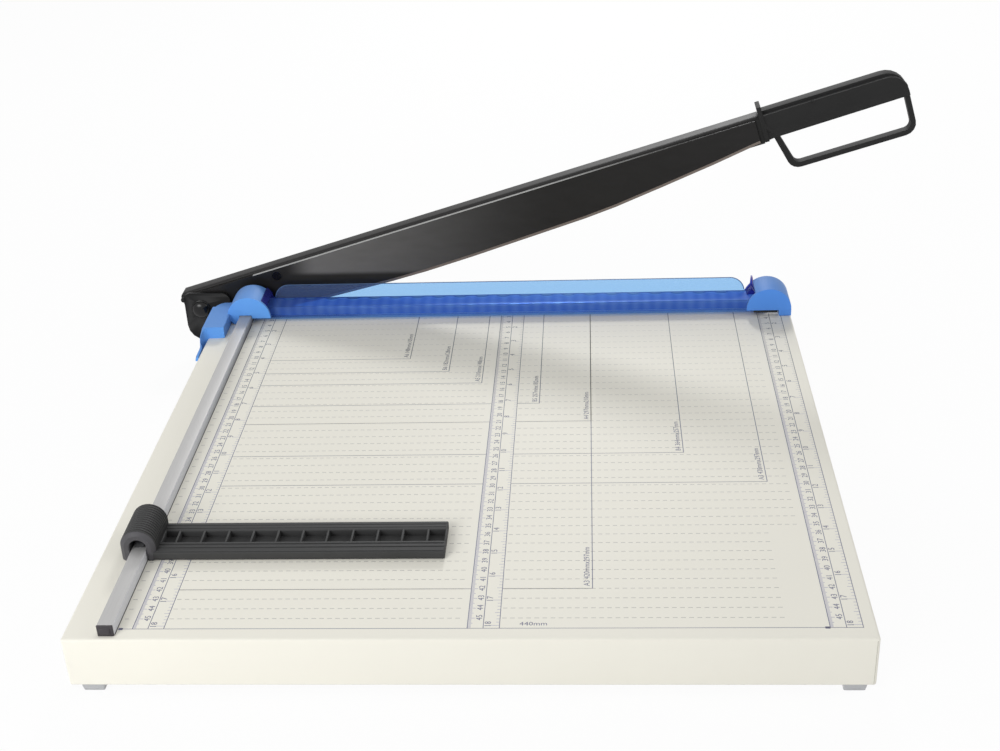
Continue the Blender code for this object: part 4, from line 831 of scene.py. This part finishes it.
def gauge_head():
    """The head over the rail, with rings cut round it."""
    front = -GAUGE_DEPTH
    rings = [
        head_ring(front, 2.9, BORE_RADIUS + 0.4),
        head_ring(front + 0.4, 2.4),
        head_ring(front + 1.7, 0.7),
        head_ring(front + 2.1, 0.3),
        head_ring(front + 2.7, 0.0),
    ]
    pitch = (GAUGE_DEPTH - 3.4) / RINGS
    for i in range(RINGS):
        middle = front + 3.0 + pitch * (i + 0.5)
        for y, inset in ((-0.7, 0.0), (-0.4, 0.65), (0.4, 0.65), (0.7, 0.0)):
            rings.append(head_ring(middle + y, inset))
    rings += [head_ring(-0.25, 0.2), head_ring(0.0, 0.7)]
    return lofted(rings, "strip")


def gauge_arm():
    """The arm's meshes: floor, front and back bar, two ends, ribs and ridges."""
    front, back = POCKET_FRONT - 0.9, POCKET_BACK + 0.9
    meshes = [
        block((BEAM_LEFT, BEAM_FRONT + 0.3, 0.5), (BEAM_RIGHT - 0.3, BEAM_REAR - 0.3, 1.5)),
        block((BEAM_LEFT, BEAM_FRONT, 0.5), (BEAM_RIGHT, POCKET_FRONT, BEAM_TOP), 0.7, 3),
        block((BEAM_LEFT, POCKET_BACK, 0.5), (BEAM_RIGHT, BEAM_REAR, BEAM_TOP), 0.7, 3),
        block((BEAM_LEFT, front, 0.6), (8.9, back, BEAM_TOP - 0.05), 0.3),
        block((199.2, front, 0.6), (BEAM_RIGHT, back, BEAM_TOP), 0.5),
    ]
    for i in range(RIBS):
        x = LAST_RIB - RIB_PITCH * i
        low, high = (x - 0.7, front + 0.1, 0.6), (x + 0.7, back - 0.1, BEAM_TOP - 0.1)
        meshes.append(block(low, high, 0.3))
    for place, width, rise in RIDGES:
        y = GAUGE_BACK - place
        low = (HEAD_X + 11.0, y - width / 2, BEAM_TOP - 0.4)
        high = (BEAM_RIGHT - 0.8, y + width / 2, BEAM_TOP + rise)
        meshes.append(block(low, high, 0.12, 1))
    return meshes


def gauge():
    """The slider: a head over the rail and an arm, with painted light that makes the face of the head
    paler.
    """
    mesh = joined(gauge_head(), *gauge_arm())
    made = piece("gauge_look", mesh, GAUGE_GREY, "gauge", ("gauge",), angle=30)
    made.data.materials.append(LIT_GAUGE_FACE)
    # Painted light: the head's front end, which faces the lamps, takes the paler finish.
    end = ON_BED @ Vector((HEAD_X + HEAD_RADIUS, GAUGE_BACK - GAUGE_DEPTH + 2.2, 0))
    for face in made.data.polygons:
        face.material_index = int(face.center.x < end.x and face.center.y < end.y)


gauge()


# Paper guard

BAR_LEFT, BAR_RIGHT = 3.1, 446.1
BAR_FRONT, BAR_BACK = -25.9, -4.4
BAR_BOTTOM, BAR_TOP = 2.0, 11.2
LIP_FRONT, LIP_HEIGHT = -30.5, 1.2
WALL_LEFT, WALL_RIGHT, WALL_TOP = 17.5, 431.6, 22.8
WALL_Y, WALL_THICKNESS = -5.7, 2.6
BOSS_PITCH, BOSS_FIRST, BOSSES = 19.0, 31.2, 21
CELL_RIBS, FIRST_CELL_RIB = 44, 16.95
HOLLOW_LEFT, HOLLOW_RIGHT = 14.0, 435.2
HOLLOW_FRONT, HOLLOW_BACK = -23.8, -6.6
HOLLOW_Z, HOLLOW_HEIGHT = BAR_TOP - 7.1, 10.2
PIN_PLACES = (7.5, 441.7)
# The spring's seat and the pin's bore: radius, foot and top
PIN_HOLES = ((3.7, -2.0, 6.8), (2.3, 5.0, 12.0))
ARCH_PLACES = (-0.4, 449.6)
ARCH_RADIUS, ARCH_Z, ARCH_CUT = 18.9, 6.3, 10.0
FIN_TIP = (
    (431.7, 10.9), (432.6, 12.9), (434.4, 15.4), (435.9, 17.2), (436.5, 24.4),
    (437.6, 24.6), (439.4, 15.6), (441.2, 11.2), (441.2, 10.4), (431.7, 10.4),
)
FIN_GUSSET = ((432.2, 11.3), (434.6, 14.6), (436.8, 17.4), (440.2, 11.3))
FIN_STREAK = (
    (436.4, 24.5), (437.7, 24.7), (439.6, 15.7), (440.8, 11.4), (439.9, 11.4), (438.4, 16.0),
)
# The corners of the dark block of painted shade under the right arch.
ARCH_SHADE_BLOCK = (437.0, -33.0, 1.9), (457.2, -29.5, 5.2)


def wall_outline(inset, foot, top, radius):
    """The upright wall's outline, drawn in by an inset at its ends, with rounded top corners."""
    left, right = WALL_LEFT + inset, WALL_RIGHT - inset
    return rounded([(left, foot, 0), (right, foot, 0), (right, top, radius), (left, top, radius)], 16)


def hollow_outline():
    """The hollow below the bar: thin ribs along its front, round cells along its back."""
    outline = [(HOLLOW_LEFT, HOLLOW_FRONT)]
    for i in range(CELL_RIBS):
        x = FIRST_CELL_RIB + i * BOSS_PITCH / 2
        for u, v in ((-0.6, 0), (-0.6, 5.5), (0.6, 5.5), (0.6, 0)):
            outline.append((x + u, HOLLOW_FRONT + v))
    outline += [(HOLLOW_RIGHT, HOLLOW_FRONT), (HOLLOW_RIGHT, HOLLOW_BACK)]
    for i in reversed(range(BOSSES)):
        outline += arc((BOSS_FIRST + BOSS_PITCH * i, HOLLOW_BACK + 2.6), 6.4, -24, -156, 10)
    return outline + [(HOLLOW_LEFT, HOLLOW_BACK)]


def guard_body():
    """The bar, its lip and its upright wall in one, hollowed from below."""
    bar = block((BAR_LEFT, BAR_FRONT, BAR_BOTTOM), (BAR_RIGHT, BAR_BACK, BAR_TOP))
    lip_top = BAR_BOTTOM + LIP_HEIGHT
    lip = block((BAR_LEFT, LIP_FRONT, BAR_BOTTOM), (BAR_RIGHT, BAR_FRONT + 1.0, lip_top))
    upright = wall_outline(0, BAR_TOP - 1.5, WALL_TOP, 13.0)
    wall = plate(upright, WALL_THICKNESS, (0, WALL_Y, 0))
    body = carved(carved(bar, lip, "UNION"), wall, "UNION")
    tools = [plate(hollow_outline(), HOLLOW_HEIGHT, (0, 0, HOLLOW_Z), LYING)]
    for x in PIN_PLACES:
        for radius, foot, top in PIN_HOLES:
            hole = [(0, top), (radius, top), (radius, foot), (0, foot)]
            tools.append(turned(hole, (x, (BAR_FRONT + BAR_BACK) / 2, BAR_BOTTOM), LYING, 24))
    for tool in tools:
        body = carved(body, tool)
    return body


def guard():
    """The guard in clear blue: thicker blue on its bar, and another inside the hollow."""
    made = piece(
        "guard_look", guard_body(), CLEAR, "guard", ("guard",), 0.12, 2, 40
    )
    made.data.materials.append(THICK)
    made.data.materials.append(HOLLOW)
    low, high = ON_BED @ Vector((0, BAR_FRONT, 0)), ON_BED @ Vector((0, BAR_BACK, BAR_TOP))
    for face in made.data.polygons:
        place = face.center
        in_bar = place.z < high.z + 1.2 * MM and place.y > low.y - 0.4 * MM
        inside = place.z < high.z - MM and low.y + MM < place.y < high.y - MM
        face.material_index = 2 if inside else int(in_bar)


def guard_trim():
    """Thin forms on the guard: the bar's groove and bosses, and the wall's frosted rim."""
    left, right = WALL_LEFT + 0.2, WALL_RIGHT - 0.2
    groove = [(right, -7.0), (left, -7.0), (left, -8.8)]
    bosses = []
    for i in range(BOSSES):
        x = BOSS_FIRST + BOSS_PITCH * i
        groove += arc((x, -4.2), 7.7, -143.3, -36.7, 10)
        boss = arc((x, -5.7), 5.4, -150, -30, 12)
        bosses.append(plate(boss, 0.16, (0, 0, BAR_TOP + 0.08), LYING))
    groove.append((right, -8.8))
    outside = wall_outline(0.2, BAR_TOP + 0.2, WALL_TOP + 0.05, 12.8)
    inside = wall_outline(0.9, BAR_TOP + 0.2, WALL_TOP - 0.55, 12.4)
    rim = outside[1:] + outside[:1] + inside[:1] + inside[:0:-1]
    for name, mesh, surface in (
        ("guard_groove", plate(groove, 0.1, (0, 0, BAR_TOP + 0.03), LYING), GROOVE_BLUE),
        ("guard_bosses", joined(*bosses), BOSS_BLUE),
        ("guard_rim", plate(rim, 0.5, (0, -4.6, 0)), RIM),
    ):
        piece(name, mesh, surface, "guard")


def arch_arc(depth, start, end):
    """An arc this deep below the left arch's skin."""
    return arc((ARCH_PLACES[0], ARCH_Z), ARCH_RADIUS - depth, start, end, 14)


def guard_fins():
    """The dark ends of the guard, where it goes in under the arches, and a dark block of painted
    shade under the right arch.
    """
    left = plate(arch_arc(0.1, 30, 51.5) + arch_arc(2.0, 46.5, 30), 28.0, (0, -19.0, 0))
    web_foot = [(ARCH_PLACES[0] + 11.7, BAR_TOP)]
    web = plate(web_foot + arch_arc(1.0, 16, 50), 2.2, (0, -5.9, 0))
    tip = plate(FIN_TIP, 2.4, (0, -6.0, 0))
    gusset = plate(FIN_GUSSET, 9.0, (0, -11.5, 0))
    streak = plate(FIN_STREAK, 0.8, (0, -7.6, 0))
    # Painted shade: a dark block in the gap under the right arch's front.
    foot = block(*ARCH_SHADE_BLOCK, 0.4)
    piece("guard_foot", foot, ARCH_SHADE, "guard")
    piece("guard_fin_edge", streak, VIOLET, "guard")
    fins = joined(left, web, tip, gusset)
    piece("guard_fins", fins, DEEP, "guard", edge=0.2)


guard()
guard_trim()
guard_fins()


# Arches

# The cover's sections from the back to the front: y, left, right, top, the skirt's foot, the step
COVER_SECTIONS = (
    (-12.0, -24.0, -17.0, 10.0, 0.25, 0.3),
    (-12.6, -27.2, -17.0, 10.3, 0.25, 0.3),
    (-14.2, -30.2, -17.0, 10.3, 0.25, 0.3),
    (-17.0, -32.7, -17.0, 10.3, 0.25, 0.3),
    (-20.3, -33.9, -17.0, 10.3, 0.25, 0.3),
    (-20.5, -36.0, -17.0, 10.3, -19.6, 0.3),
    (-21.2, -36.4, -17.0, 10.3, -19.9, 0.3),
    (-61.5, -36.4, -17.0, 10.3, -19.9, 0.3),
    (-62.0, -36.4, -17.4, 9.9, -19.6, 0.3),
    (-62.3, -36.4, -31.6, 9.7, -19.5, -0.8),
    (-63.2, -36.4, -32.8, 9.4, -19.0, -0.8),
    (-64.4, -36.4, -33.8, 9.0, -18.4, -0.8),
    (-66.0, -36.4, -34.5, 8.5, -17.2, -0.8),
    (-68.6, -36.4, -35.2, 7.3, -15.4, -0.8),
    (-70.2, -36.4, -35.7, 5.6, -14.3, -0.8),
    (-71.2, -36.4, -36.0, 3.6, -13.7, -0.8),
    (-72.2, -36.4, -36.0, 0.8, -13.0, -0.8),
    (-74.0, -36.4, -34.6, -0.4, -11.9, -1.0),
    (-78.0, -36.4, -33.6, -1.2, -10.2, -1.7),
    (-90.0, -36.4, -33.4, -1.6, -6.8, -2.1),
    (-92.2, -36.4, -33.4, -2.8, -6.2, -3.3),
)
# What is cut from the left mount's solid, where the cover and skirt stand in for it
COVER_WASTE, COVER_CUTS = (-60, -110, -40), ((-19.2, 10, 40), (-16.9, -36.1, 40))
# The corners of the thin dark strip that paints the rail's contact shadow.
RAIL_SHADOW_STRIP = (1.2, -465.5, 0.02), (1.85, -36.5, 0.32)


def cover_ring(y, left, right, top, low, step):
    """A section through the cover and the skirt that hangs from its left side."""
    off = min(1.3, right - left)
    skirt = max(left + 0.1, min(right - 0.05, -30.8))
    outline = (
        (left, low),
        (left, top - 1.9 * off),
        (left + 0.28 * off, top - 0.85 * off),
        (left + 0.8 * off, top - 0.2 * off),
        (right - 0.25 * off, top),
        (right, top - 0.3 * off),
        (right, step),
        (skirt, step),
        (skirt, low),
    )
    return [(x, y, z) for x, z in outline]


def stretch_shell(mount, x, side):
    """Brings an arch's cut edge a little further round, to the guard's end."""
    for vert in mount.vertices:
        if abs(side * (vert.co.x - x) - ARCH_CUT) < 0.1 and vert.co.z > 15:
            vert.co.x += side * 1.4
            vert.co.z -= 1.0


def right_mount():
    """The right arch."""
    mount = node_mesh("right_mount")
    stretch_shell(mount, ARCH_PLACES[1], -1)
    piece("right_mount_look", mount, BLUE, "base", ("right_mount",), 0.5, 3)


def left_mount():
    """The left arch, and its cover with the skirt that tapers down the bed's side."""
    mount = node_mesh("left_mount")
    for corner in COVER_CUTS:
        mount = carved(mount, block(COVER_WASTE, corner))
    stretch_shell(mount, ARCH_PLACES[0], 1)
    cover = lofted([cover_ring(*section) for section in COVER_SECTIONS])
    piece("left_mount_look", mount, LIT_LEFT_BLUE, "base", ("left_mount",), 0.5, 3)
    piece("cover_look", cover, LIT_LEFT_BLUE, "base", angle=24)


def rail():
    """The gauge's rail, with painted light on its right side, and a thin dark strip along its foot
    that paints its contact shadow.
    """
    made = dress("rail", RAIL_METAL, 0.35)
    # Painted light: the faces that look to the right take the paler side finish.
    made.data.materials.append(LIT_RAIL_SIDE)
    for face in made.data.polygons:
        face.material_index = int(face.normal.x > 0.6)
    # Painted contact shadow: a thin dark strip along the rail's foot.
    shadow_strip = block(*RAIL_SHADOW_STRIP, 0.08, 1)
    piece("rail_contact_shadow", shadow_strip, SPRING_DARK, "base")


def guard_springs():
    """The guard's springs in bare steel, each with a mesh of its own."""
    for side in ("left", "right"):
        node = f"guard_spring_{side}"
        made = dress(node, STEEL, 0)
        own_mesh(made)


left_mount()
right_mount()
guard_springs()
rail()
dress("rail_end_cap", CAP_BLACK, 0.4)
dress("fixed_knife", GROUND, 0.15)


# Hinge

NUB_PLACE, BOLT_PLACE = (-66.4, -1.2, 8.8), (-51, -3.8, 0)
DOME_RADIUS, DOME_RISE = 7.9, 3.9
FOOT_RINGS = ((0.0, 6.3), (0.4, 6.7), (3.4, 7.2))  # height over the ground and half the width
FOOT_TOP, FOOT_ROUND = 7.6, 0.9


def bracket():
    """The bracket's plate with a cut shoulder, and its small stop at the rear left."""
    stop = [(0, 3.4), (1.2, 3.3), (2.0, 2.7), (2.3, 1.6), (2.3, 0.2), (0, 0.2)]
    nub = turned(stop, NUB_PLACE, FACING_FRONT, 28)
    corner = [(-23.3, 8.3), (-23.3, 15.8), (-30.8, 15.8)] + arc((-30.8, 8.3), 6.5, 90, 0, 10)
    cut = carved(node_mesh("hinge_bracket"), plate(corner, 12.0, (0, -1.7, 0)))
    both = joined(cut, nub)
    piece("bracket_look", both, BRACKET_BLACK, "base", ("hinge_bracket",), 0.9, 3)


def pivot_bolt():
    """The bolt that the arm turns on: a domed head with a thin rim."""
    slopes = [math.radians(a) for a in range(84, -1, -7)]
    dome = [(DOME_RADIUS * math.cos(a), 1.1 + DOME_RISE * math.sin(a)) for a in slopes]
    rim = [(8.5, 1.0), (8.8, 0.8), (8.9, 0.4), (8.7, 0.05)]
    shank = [(4.0, 0.05), (4.0, -24.8), (0, -24.8)]
    bolt = turned([(0, 5.0)] + dome + rim + shank, BOLT_PLACE, FACING_FRONT, 64)
    piece("pivot_bolt_look", bolt, SCREW_BLACK, "base", ("pivot_bolt",), angle=35)


def feet():
    """The four feet: squared, tapering, with rounded corners."""
    for i in range(1, 5):
        low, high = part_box(f"foot_{i}")
        place = ON_BED.inverted() @ ((low + high) / 2)
        ground = (ON_BED.inverted() @ low).z
        x, y = place.x + (0.2 if place.x < 0 else -0.2), place.y + 0.6
        rings = []
        for z, half in (*FOOT_RINGS, (-BED_HEIGHT - ground, FOOT_TOP)):
            sides = ((-half, -half), (half, -half), (half, half), (-half, half))
            corners = [(u, v, FOOT_ROUND) for u, v in sides]
            rings.append([(x + u, y + v, ground + z) for u, v in rounded(corners, 5)])
        foot = lofted(rings)
        piece(f"foot_{i}_look", foot, FOOT_GREY, "base", (f"foot_{i}",))


bracket()
pivot_bolt()
feet()


# Arm

SPINE_TOP, WEB_BOTTOM = 17.0, -8.0
WEB_FRONT, WEB_BACK, ARM_BACK = 3.1, 5.6, 17.0
SPINE_LEFT, SPINE_RIGHT = -15.6, 515.6
FOLD, SPINE_SHEET, REAR_LEG = 2.5, 2.5, 8.0
EYE_RADIUS, EYE_BORE, TAIL_ROUND = 13.2, 4.3, 4.5
BLADE_RIGHT, BLADE_TOP, BLADE_DEPTH = 512.0, 14.4, 29.2
# The blade's edge: shares of its length and of its depth
EDGE_SHARES = (
    (0.080, 0.72), (0.221, 0.90), (0.338, 0.985), (0.400, 1.0),
    (0.484, 0.973), (0.602, 0.897), (0.688, 0.846), (0.745, 0.774),
    (0.830, 0.599), (0.916, 0.408), (0.996, 0.199), (1.0, 0.199),
)
# The ground strip's section: y, and height over the edge
STRIP = ((0.16, 2.3), (0.16, 0.1), (0.6, -0.02), (0.9, 2.3))
COLLAR_FACE, COLLAR_TOP, COLLAR_RIGHT = 511.9, 15.8, 524.0
LOOP_CORNER, LOOP_TOP, LOOP_LEAN, LOOP_DEPTH = 550.0, -6.0, 1.8, 25.0
# The way of the ridge on the handle, from its top down: x, z and y
RIDGE_WAY = (
    (517.6, 14.5, 2.6), (517.7, 11.5, 2.2), (518.3, 8.6, 2.2), (519.6, 5.4, 2.2),
    (521.8, 2.0, 2.4), (524.2, -0.8, 2.9), (525.6, -3.0, 3.6),
)


def arm_spine():
    """The folded back of the arm, with rounded folds and tail, its eye and its tang."""
    section = [
        (WEB_FRONT, WEB_BOTTOM),
        *arc((WEB_FRONT + FOLD, SPINE_TOP - FOLD), FOLD, 180, 90, 6),
        *arc((ARM_BACK - FOLD, SPINE_TOP - FOLD), FOLD, 90, 0, 6),
        (ARM_BACK, REAR_LEG),
        (ARM_BACK - SPINE_SHEET, REAR_LEG),
        (ARM_BACK - SPINE_SHEET, SPINE_TOP - SPINE_SHEET),
        (WEB_BACK, SPINE_TOP - SPINE_SHEET),
        (WEB_BACK, WEB_BOTTOM),
    ]
    middle = (SPINE_LEFT + SPINE_RIGHT) / 2
    spine = plate(section, SPINE_RIGHT - SPINE_LEFT, (middle, 0, 0), FACING_SIDE)
    eye = plate(arc((0, 0), EYE_RADIUS, 0, 360, 48)[:-1], 2.1, (0, (WEB_FRONT + WEB_BACK) / 2, 0))
    tang = block((SPINE_RIGHT - 0.5, WEB_FRONT + 0.2, 0.0), (600.0, WEB_BACK - 0.2, 11.8))
    left, low = SPINE_LEFT + TAIL_ROUND, SPINE_TOP - TAIL_ROUND
    corner = [(SPINE_LEFT - 1, low), (SPINE_LEFT - 1, SPINE_TOP + 1), (left, SPINE_TOP + 1)]
    waste = plate(corner + arc((left, low), TAIL_ROUND, 90, 180, 10), 40.0, (0, 10, 0))
    hole = [(0, 30), (EYE_BORE, 30), (EYE_BORE, -2), (0, -2)]
    to_back = FACING_FRONT @ Matrix.Scale(-1, 4, (0, 0, 1))
    body = carved(carved(spine, eye, "UNION"), tang, "UNION")
    body = carved(carved(body, waste), turned(hole, (0, 0, 0), to_back, 40))
    piece("spine_look", body, ARM_PAINT, "arm", ("arm_spine",), 0.35, 2, 50)


def blade():
    """The knife, its top edge brought up into the fold of the spine."""
    knife = node_mesh("blade", "arm")
    top = max(vert.co.z for vert in knife.vertices)
    for vert in knife.vertices:
        if vert.co.z > top - 0.5:
            vert.co.z = BLADE_TOP
    piece("blade_look", knife, BLADE_BLACK, "arm", ("blade",))


def blade_edges():
    """The ground strip along the knife's lower edge, and a painted highlight along its top edge."""
    rings = []
    for along, down in EDGE_SHARES:
        x, z = along * BLADE_RIGHT, -down * BLADE_DEPTH
        rings.append([(x, y, z + rise) for y, rise in STRIP])
    rings[-1] = [(x - 0.1, y, z) for x, y, z in rings[-1]]
    piece("ground_strip", lofted(rings), BEVEL_STEEL, "arm")
    # Painted highlight: a thin pale block along the knife's top edge.
    low, high = (56.0, 0.25, BLADE_TOP - 0.4), (BLADE_RIGHT - 0.6, 2.75, BLADE_TOP + 0.1)
    top = block(low, high, 0.08, 1)
    piece("blade_top_highlight", top, HIGHLIGHT_EDGE, "arm")


def handle_ridge():
    """The round ridge that runs down the handle from its collar to its loop."""
    rings = []
    for i, (x, z, y) in enumerate(RIDGE_WAY):
        before, after = RIDGE_WAY[max(i - 1, 0)], RIDGE_WAY[min(i + 1, len(RIDGE_WAY) - 1)]
        along = (Vector(after[:2]) - Vector(before[:2])).normalized()
        side = Vector((-along.y, along.x))
        ring = []
        for j in range(12):
            turn = math.tau * j / 12
            out = side * 1.9 * math.cos(turn)
            ring.append((x + out.x, y + 1.6 * math.sin(turn), z + out.y))
        rings.append(ring)
    return lofted(rings)


def handle():
    """The grip, closed up to the blade's end, with its ridge and a small bump on top."""
    grip = node_mesh("handle", "arm")
    for vert in grip.vertices:
        if vert.co.x < COLLAR_FACE + 0.7:
            vert.co.x = COLLAR_FACE
            vert.co.z = min(vert.co.z, COLLAR_TOP)
            if vert.co.z < -5.0:
                vert.co.z -= 2.0
        elif vert.co.x < COLLAR_RIGHT and LOOP_TOP < vert.co.z < -3.5:
            vert.co.z -= 1.2
        elif vert.co.x < LOOP_CORNER and vert.co.z < LOOP_TOP:
            vert.co.x -= LOOP_LEAN * min(1.0, (LOOP_TOP - vert.co.z) / LOOP_DEPTH)
    stud = [(0, 1.3), (0.8, 1.1), (1.3, 0.5), (1.5, -0.4), (0, -0.4)]
    bump = turned(stud, (561.0, 1.8, 15.4), FACING_FRONT, 20)
    whole = joined(grip, handle_ridge(), bump)
    piece("handle_look", whole, GRIP_BLACK, "arm", ("handle",), 0.6, 3, 28)


arm_spine()
blade()
blade_edges()
handle()


# The other nodes

FINISHES = {
    "cream_paint": ENAMEL,
    "bare_steel": STEEL,
    "ground_steel": GROUND,
    "black_paint": ARM_PAINT,
    "black_steel": SCREW_BLACK,
    "rail_aluminium": RAIL_METAL,
    "blue_plastic": BLUE,
    "clear_blue_plastic": CLEAR,
    "black_plastic": GRIP_BLACK,
    "foot_plastic": FOOT_GREY,
}


def finish_nodes():
    """Gives each CAD node that is shown as it is the finish its own material is named after."""
    for name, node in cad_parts.items():
        shown = node.data.materials
        old = shown[0].name if shown else ""
        slot = next((key for key in FINISHES if old.startswith(key)), "bare_steel")
        shown.clear()
        shown.append(SPRING_DARK if name == "gauge_spring" else FINISHES[slot])


finish_nodes()


# Camera, floor and light

CAMERA_TURN = (-4.171, 28.456, -2.745)  # yaw, pitch and roll in degrees
CAMERA_PLACE = (299.7, -1173.4, 563.7)  # from the bed's zero
LENS, SENSOR = 52.82, 36.0
FLOOR_HALF, FLOOR_GAP, FLOOR_WHITE = 6, 0.2 * MM, 0.94
# Each lamp's place and width in metres, and its watts
LAMPS = (
    ("back_lamp", (0.05, 1.65, 1.08), 0.34, 10.2),
    ("front_lamp", (-1.0, -1.2, 0.75), 0.8, 6.3),
    ("second_front_lamp", (-0.75, -1.42, 0.75), 0.8, 6.3),
    ("fill_lamp", (1.5, -0.2, 1.0), 0.8, 3.6),
)


def camera():
    """The camera, turned by its yaw, pitch and roll from a look straight back."""
    yaw, pitch, roll = (math.radians(a) for a in CAMERA_TURN)
    forward = Vector(
        (math.sin(yaw) * math.cos(pitch), math.cos(yaw) * math.cos(pitch), -math.sin(pitch))
    )
    side = Vector((math.cos(yaw), -math.sin(yaw), 0))
    up = side.cross(forward)
    right = math.cos(roll) * side + math.sin(roll) * up
    top = -math.sin(roll) * side + math.cos(roll) * up
    lens = bpy.data.cameras.new("camera")
    lens.lens = LENS
    lens.sensor_width = SENSOR
    lens.clip_end = 20
    made = set_out("camera", lens)
    turn = Matrix((right, top, -forward)).transposed().to_4x4()
    made.matrix_world = Matrix.Translation(ON_BED @ Vector(CAMERA_PLACE)) @ turn
    bpy.context.scene.camera = made


def lamp(name, place, width, watts):
    """A round lamp that faces the frame's zero, below the middle of the part."""
    light = bpy.data.lights.new(name, "AREA")
    light.shape = "DISK"
    light.size = width
    light.energy = watts
    made = set_out(name, light)
    made.location = place
    made.rotation_euler = (-Vector(place)).to_track_quat("-Z", "Y").to_euler()


def seen(tree):
    """1 for rays that see the backdrop: from the camera, or by way of metal or glass."""
    share = None
    for kind in ("Camera", "Glossy", "Transmission"):
        ray = mix_in(tree, "ShaderNodeLightPath", {}, {}, f"Is {kind} Ray")
        share = ray.math("MAXIMUM", share, ray) if share else ray
    return share


def floor():
    """A white floor that keeps a faint shadow."""
    shape = bmesh.new()
    bmesh.ops.create_grid(shape, x_segments=8, y_segments=8, size=FLOOR_HALF)
    for vert in shape.verts:
        vert.co.z = CAD_BOX[0][2] - FLOOR_GAP
    made = set_out("floor", mesh_from(shape))
    top = Finish("floor_white")
    matt = top.surface({"Base Color": (0.92, 0.92, 0.92, 1), "Roughness": 0.9})
    white = top.add("ShaderNodeEmission", {}, {"Color": (1, 1, 1, 1), "Strength": 1.0})
    share = FLOOR_WHITE * seen(top.tree)
    mixed = top.add("ShaderNodeMixShader", {}, {"Fac": share, 1: matt, 2: white})
    made.data.materials.append(top.done(mixed))


def studio():
    """Soft light: an even sky, a low lamp behind the arm, two at the front left, one at the right."""
    world = bpy.data.worlds.new("studio")
    world.use_nodes = True
    bpy.context.scene.world = world
    tree = world.node_tree
    tree.nodes.clear()
    sky = {"Color": (0.97, 0.98, 1, 1), "Strength": 0.47}
    soft = mix_in(tree, "ShaderNodeBackground", {}, sky)
    white = mix_in(tree, "ShaderNodeBackground", {}, {"Color": (1, 1, 1, 1), "Strength": 1.0})
    mixed = mix_in(tree, "ShaderNodeMixShader", {}, {"Fac": seen(tree), 1: soft, 2: white})
    out = tree.nodes.new("ShaderNodeOutputWorld")
    tree.links.new(mixed.socket, out.inputs["Surface"])
    for name, place, width, watts in LAMPS:
        lamp(name, place, width, watts)


camera()
floor()
studio()
bpy.context.scene.view_settings.view_transform = "Standard"
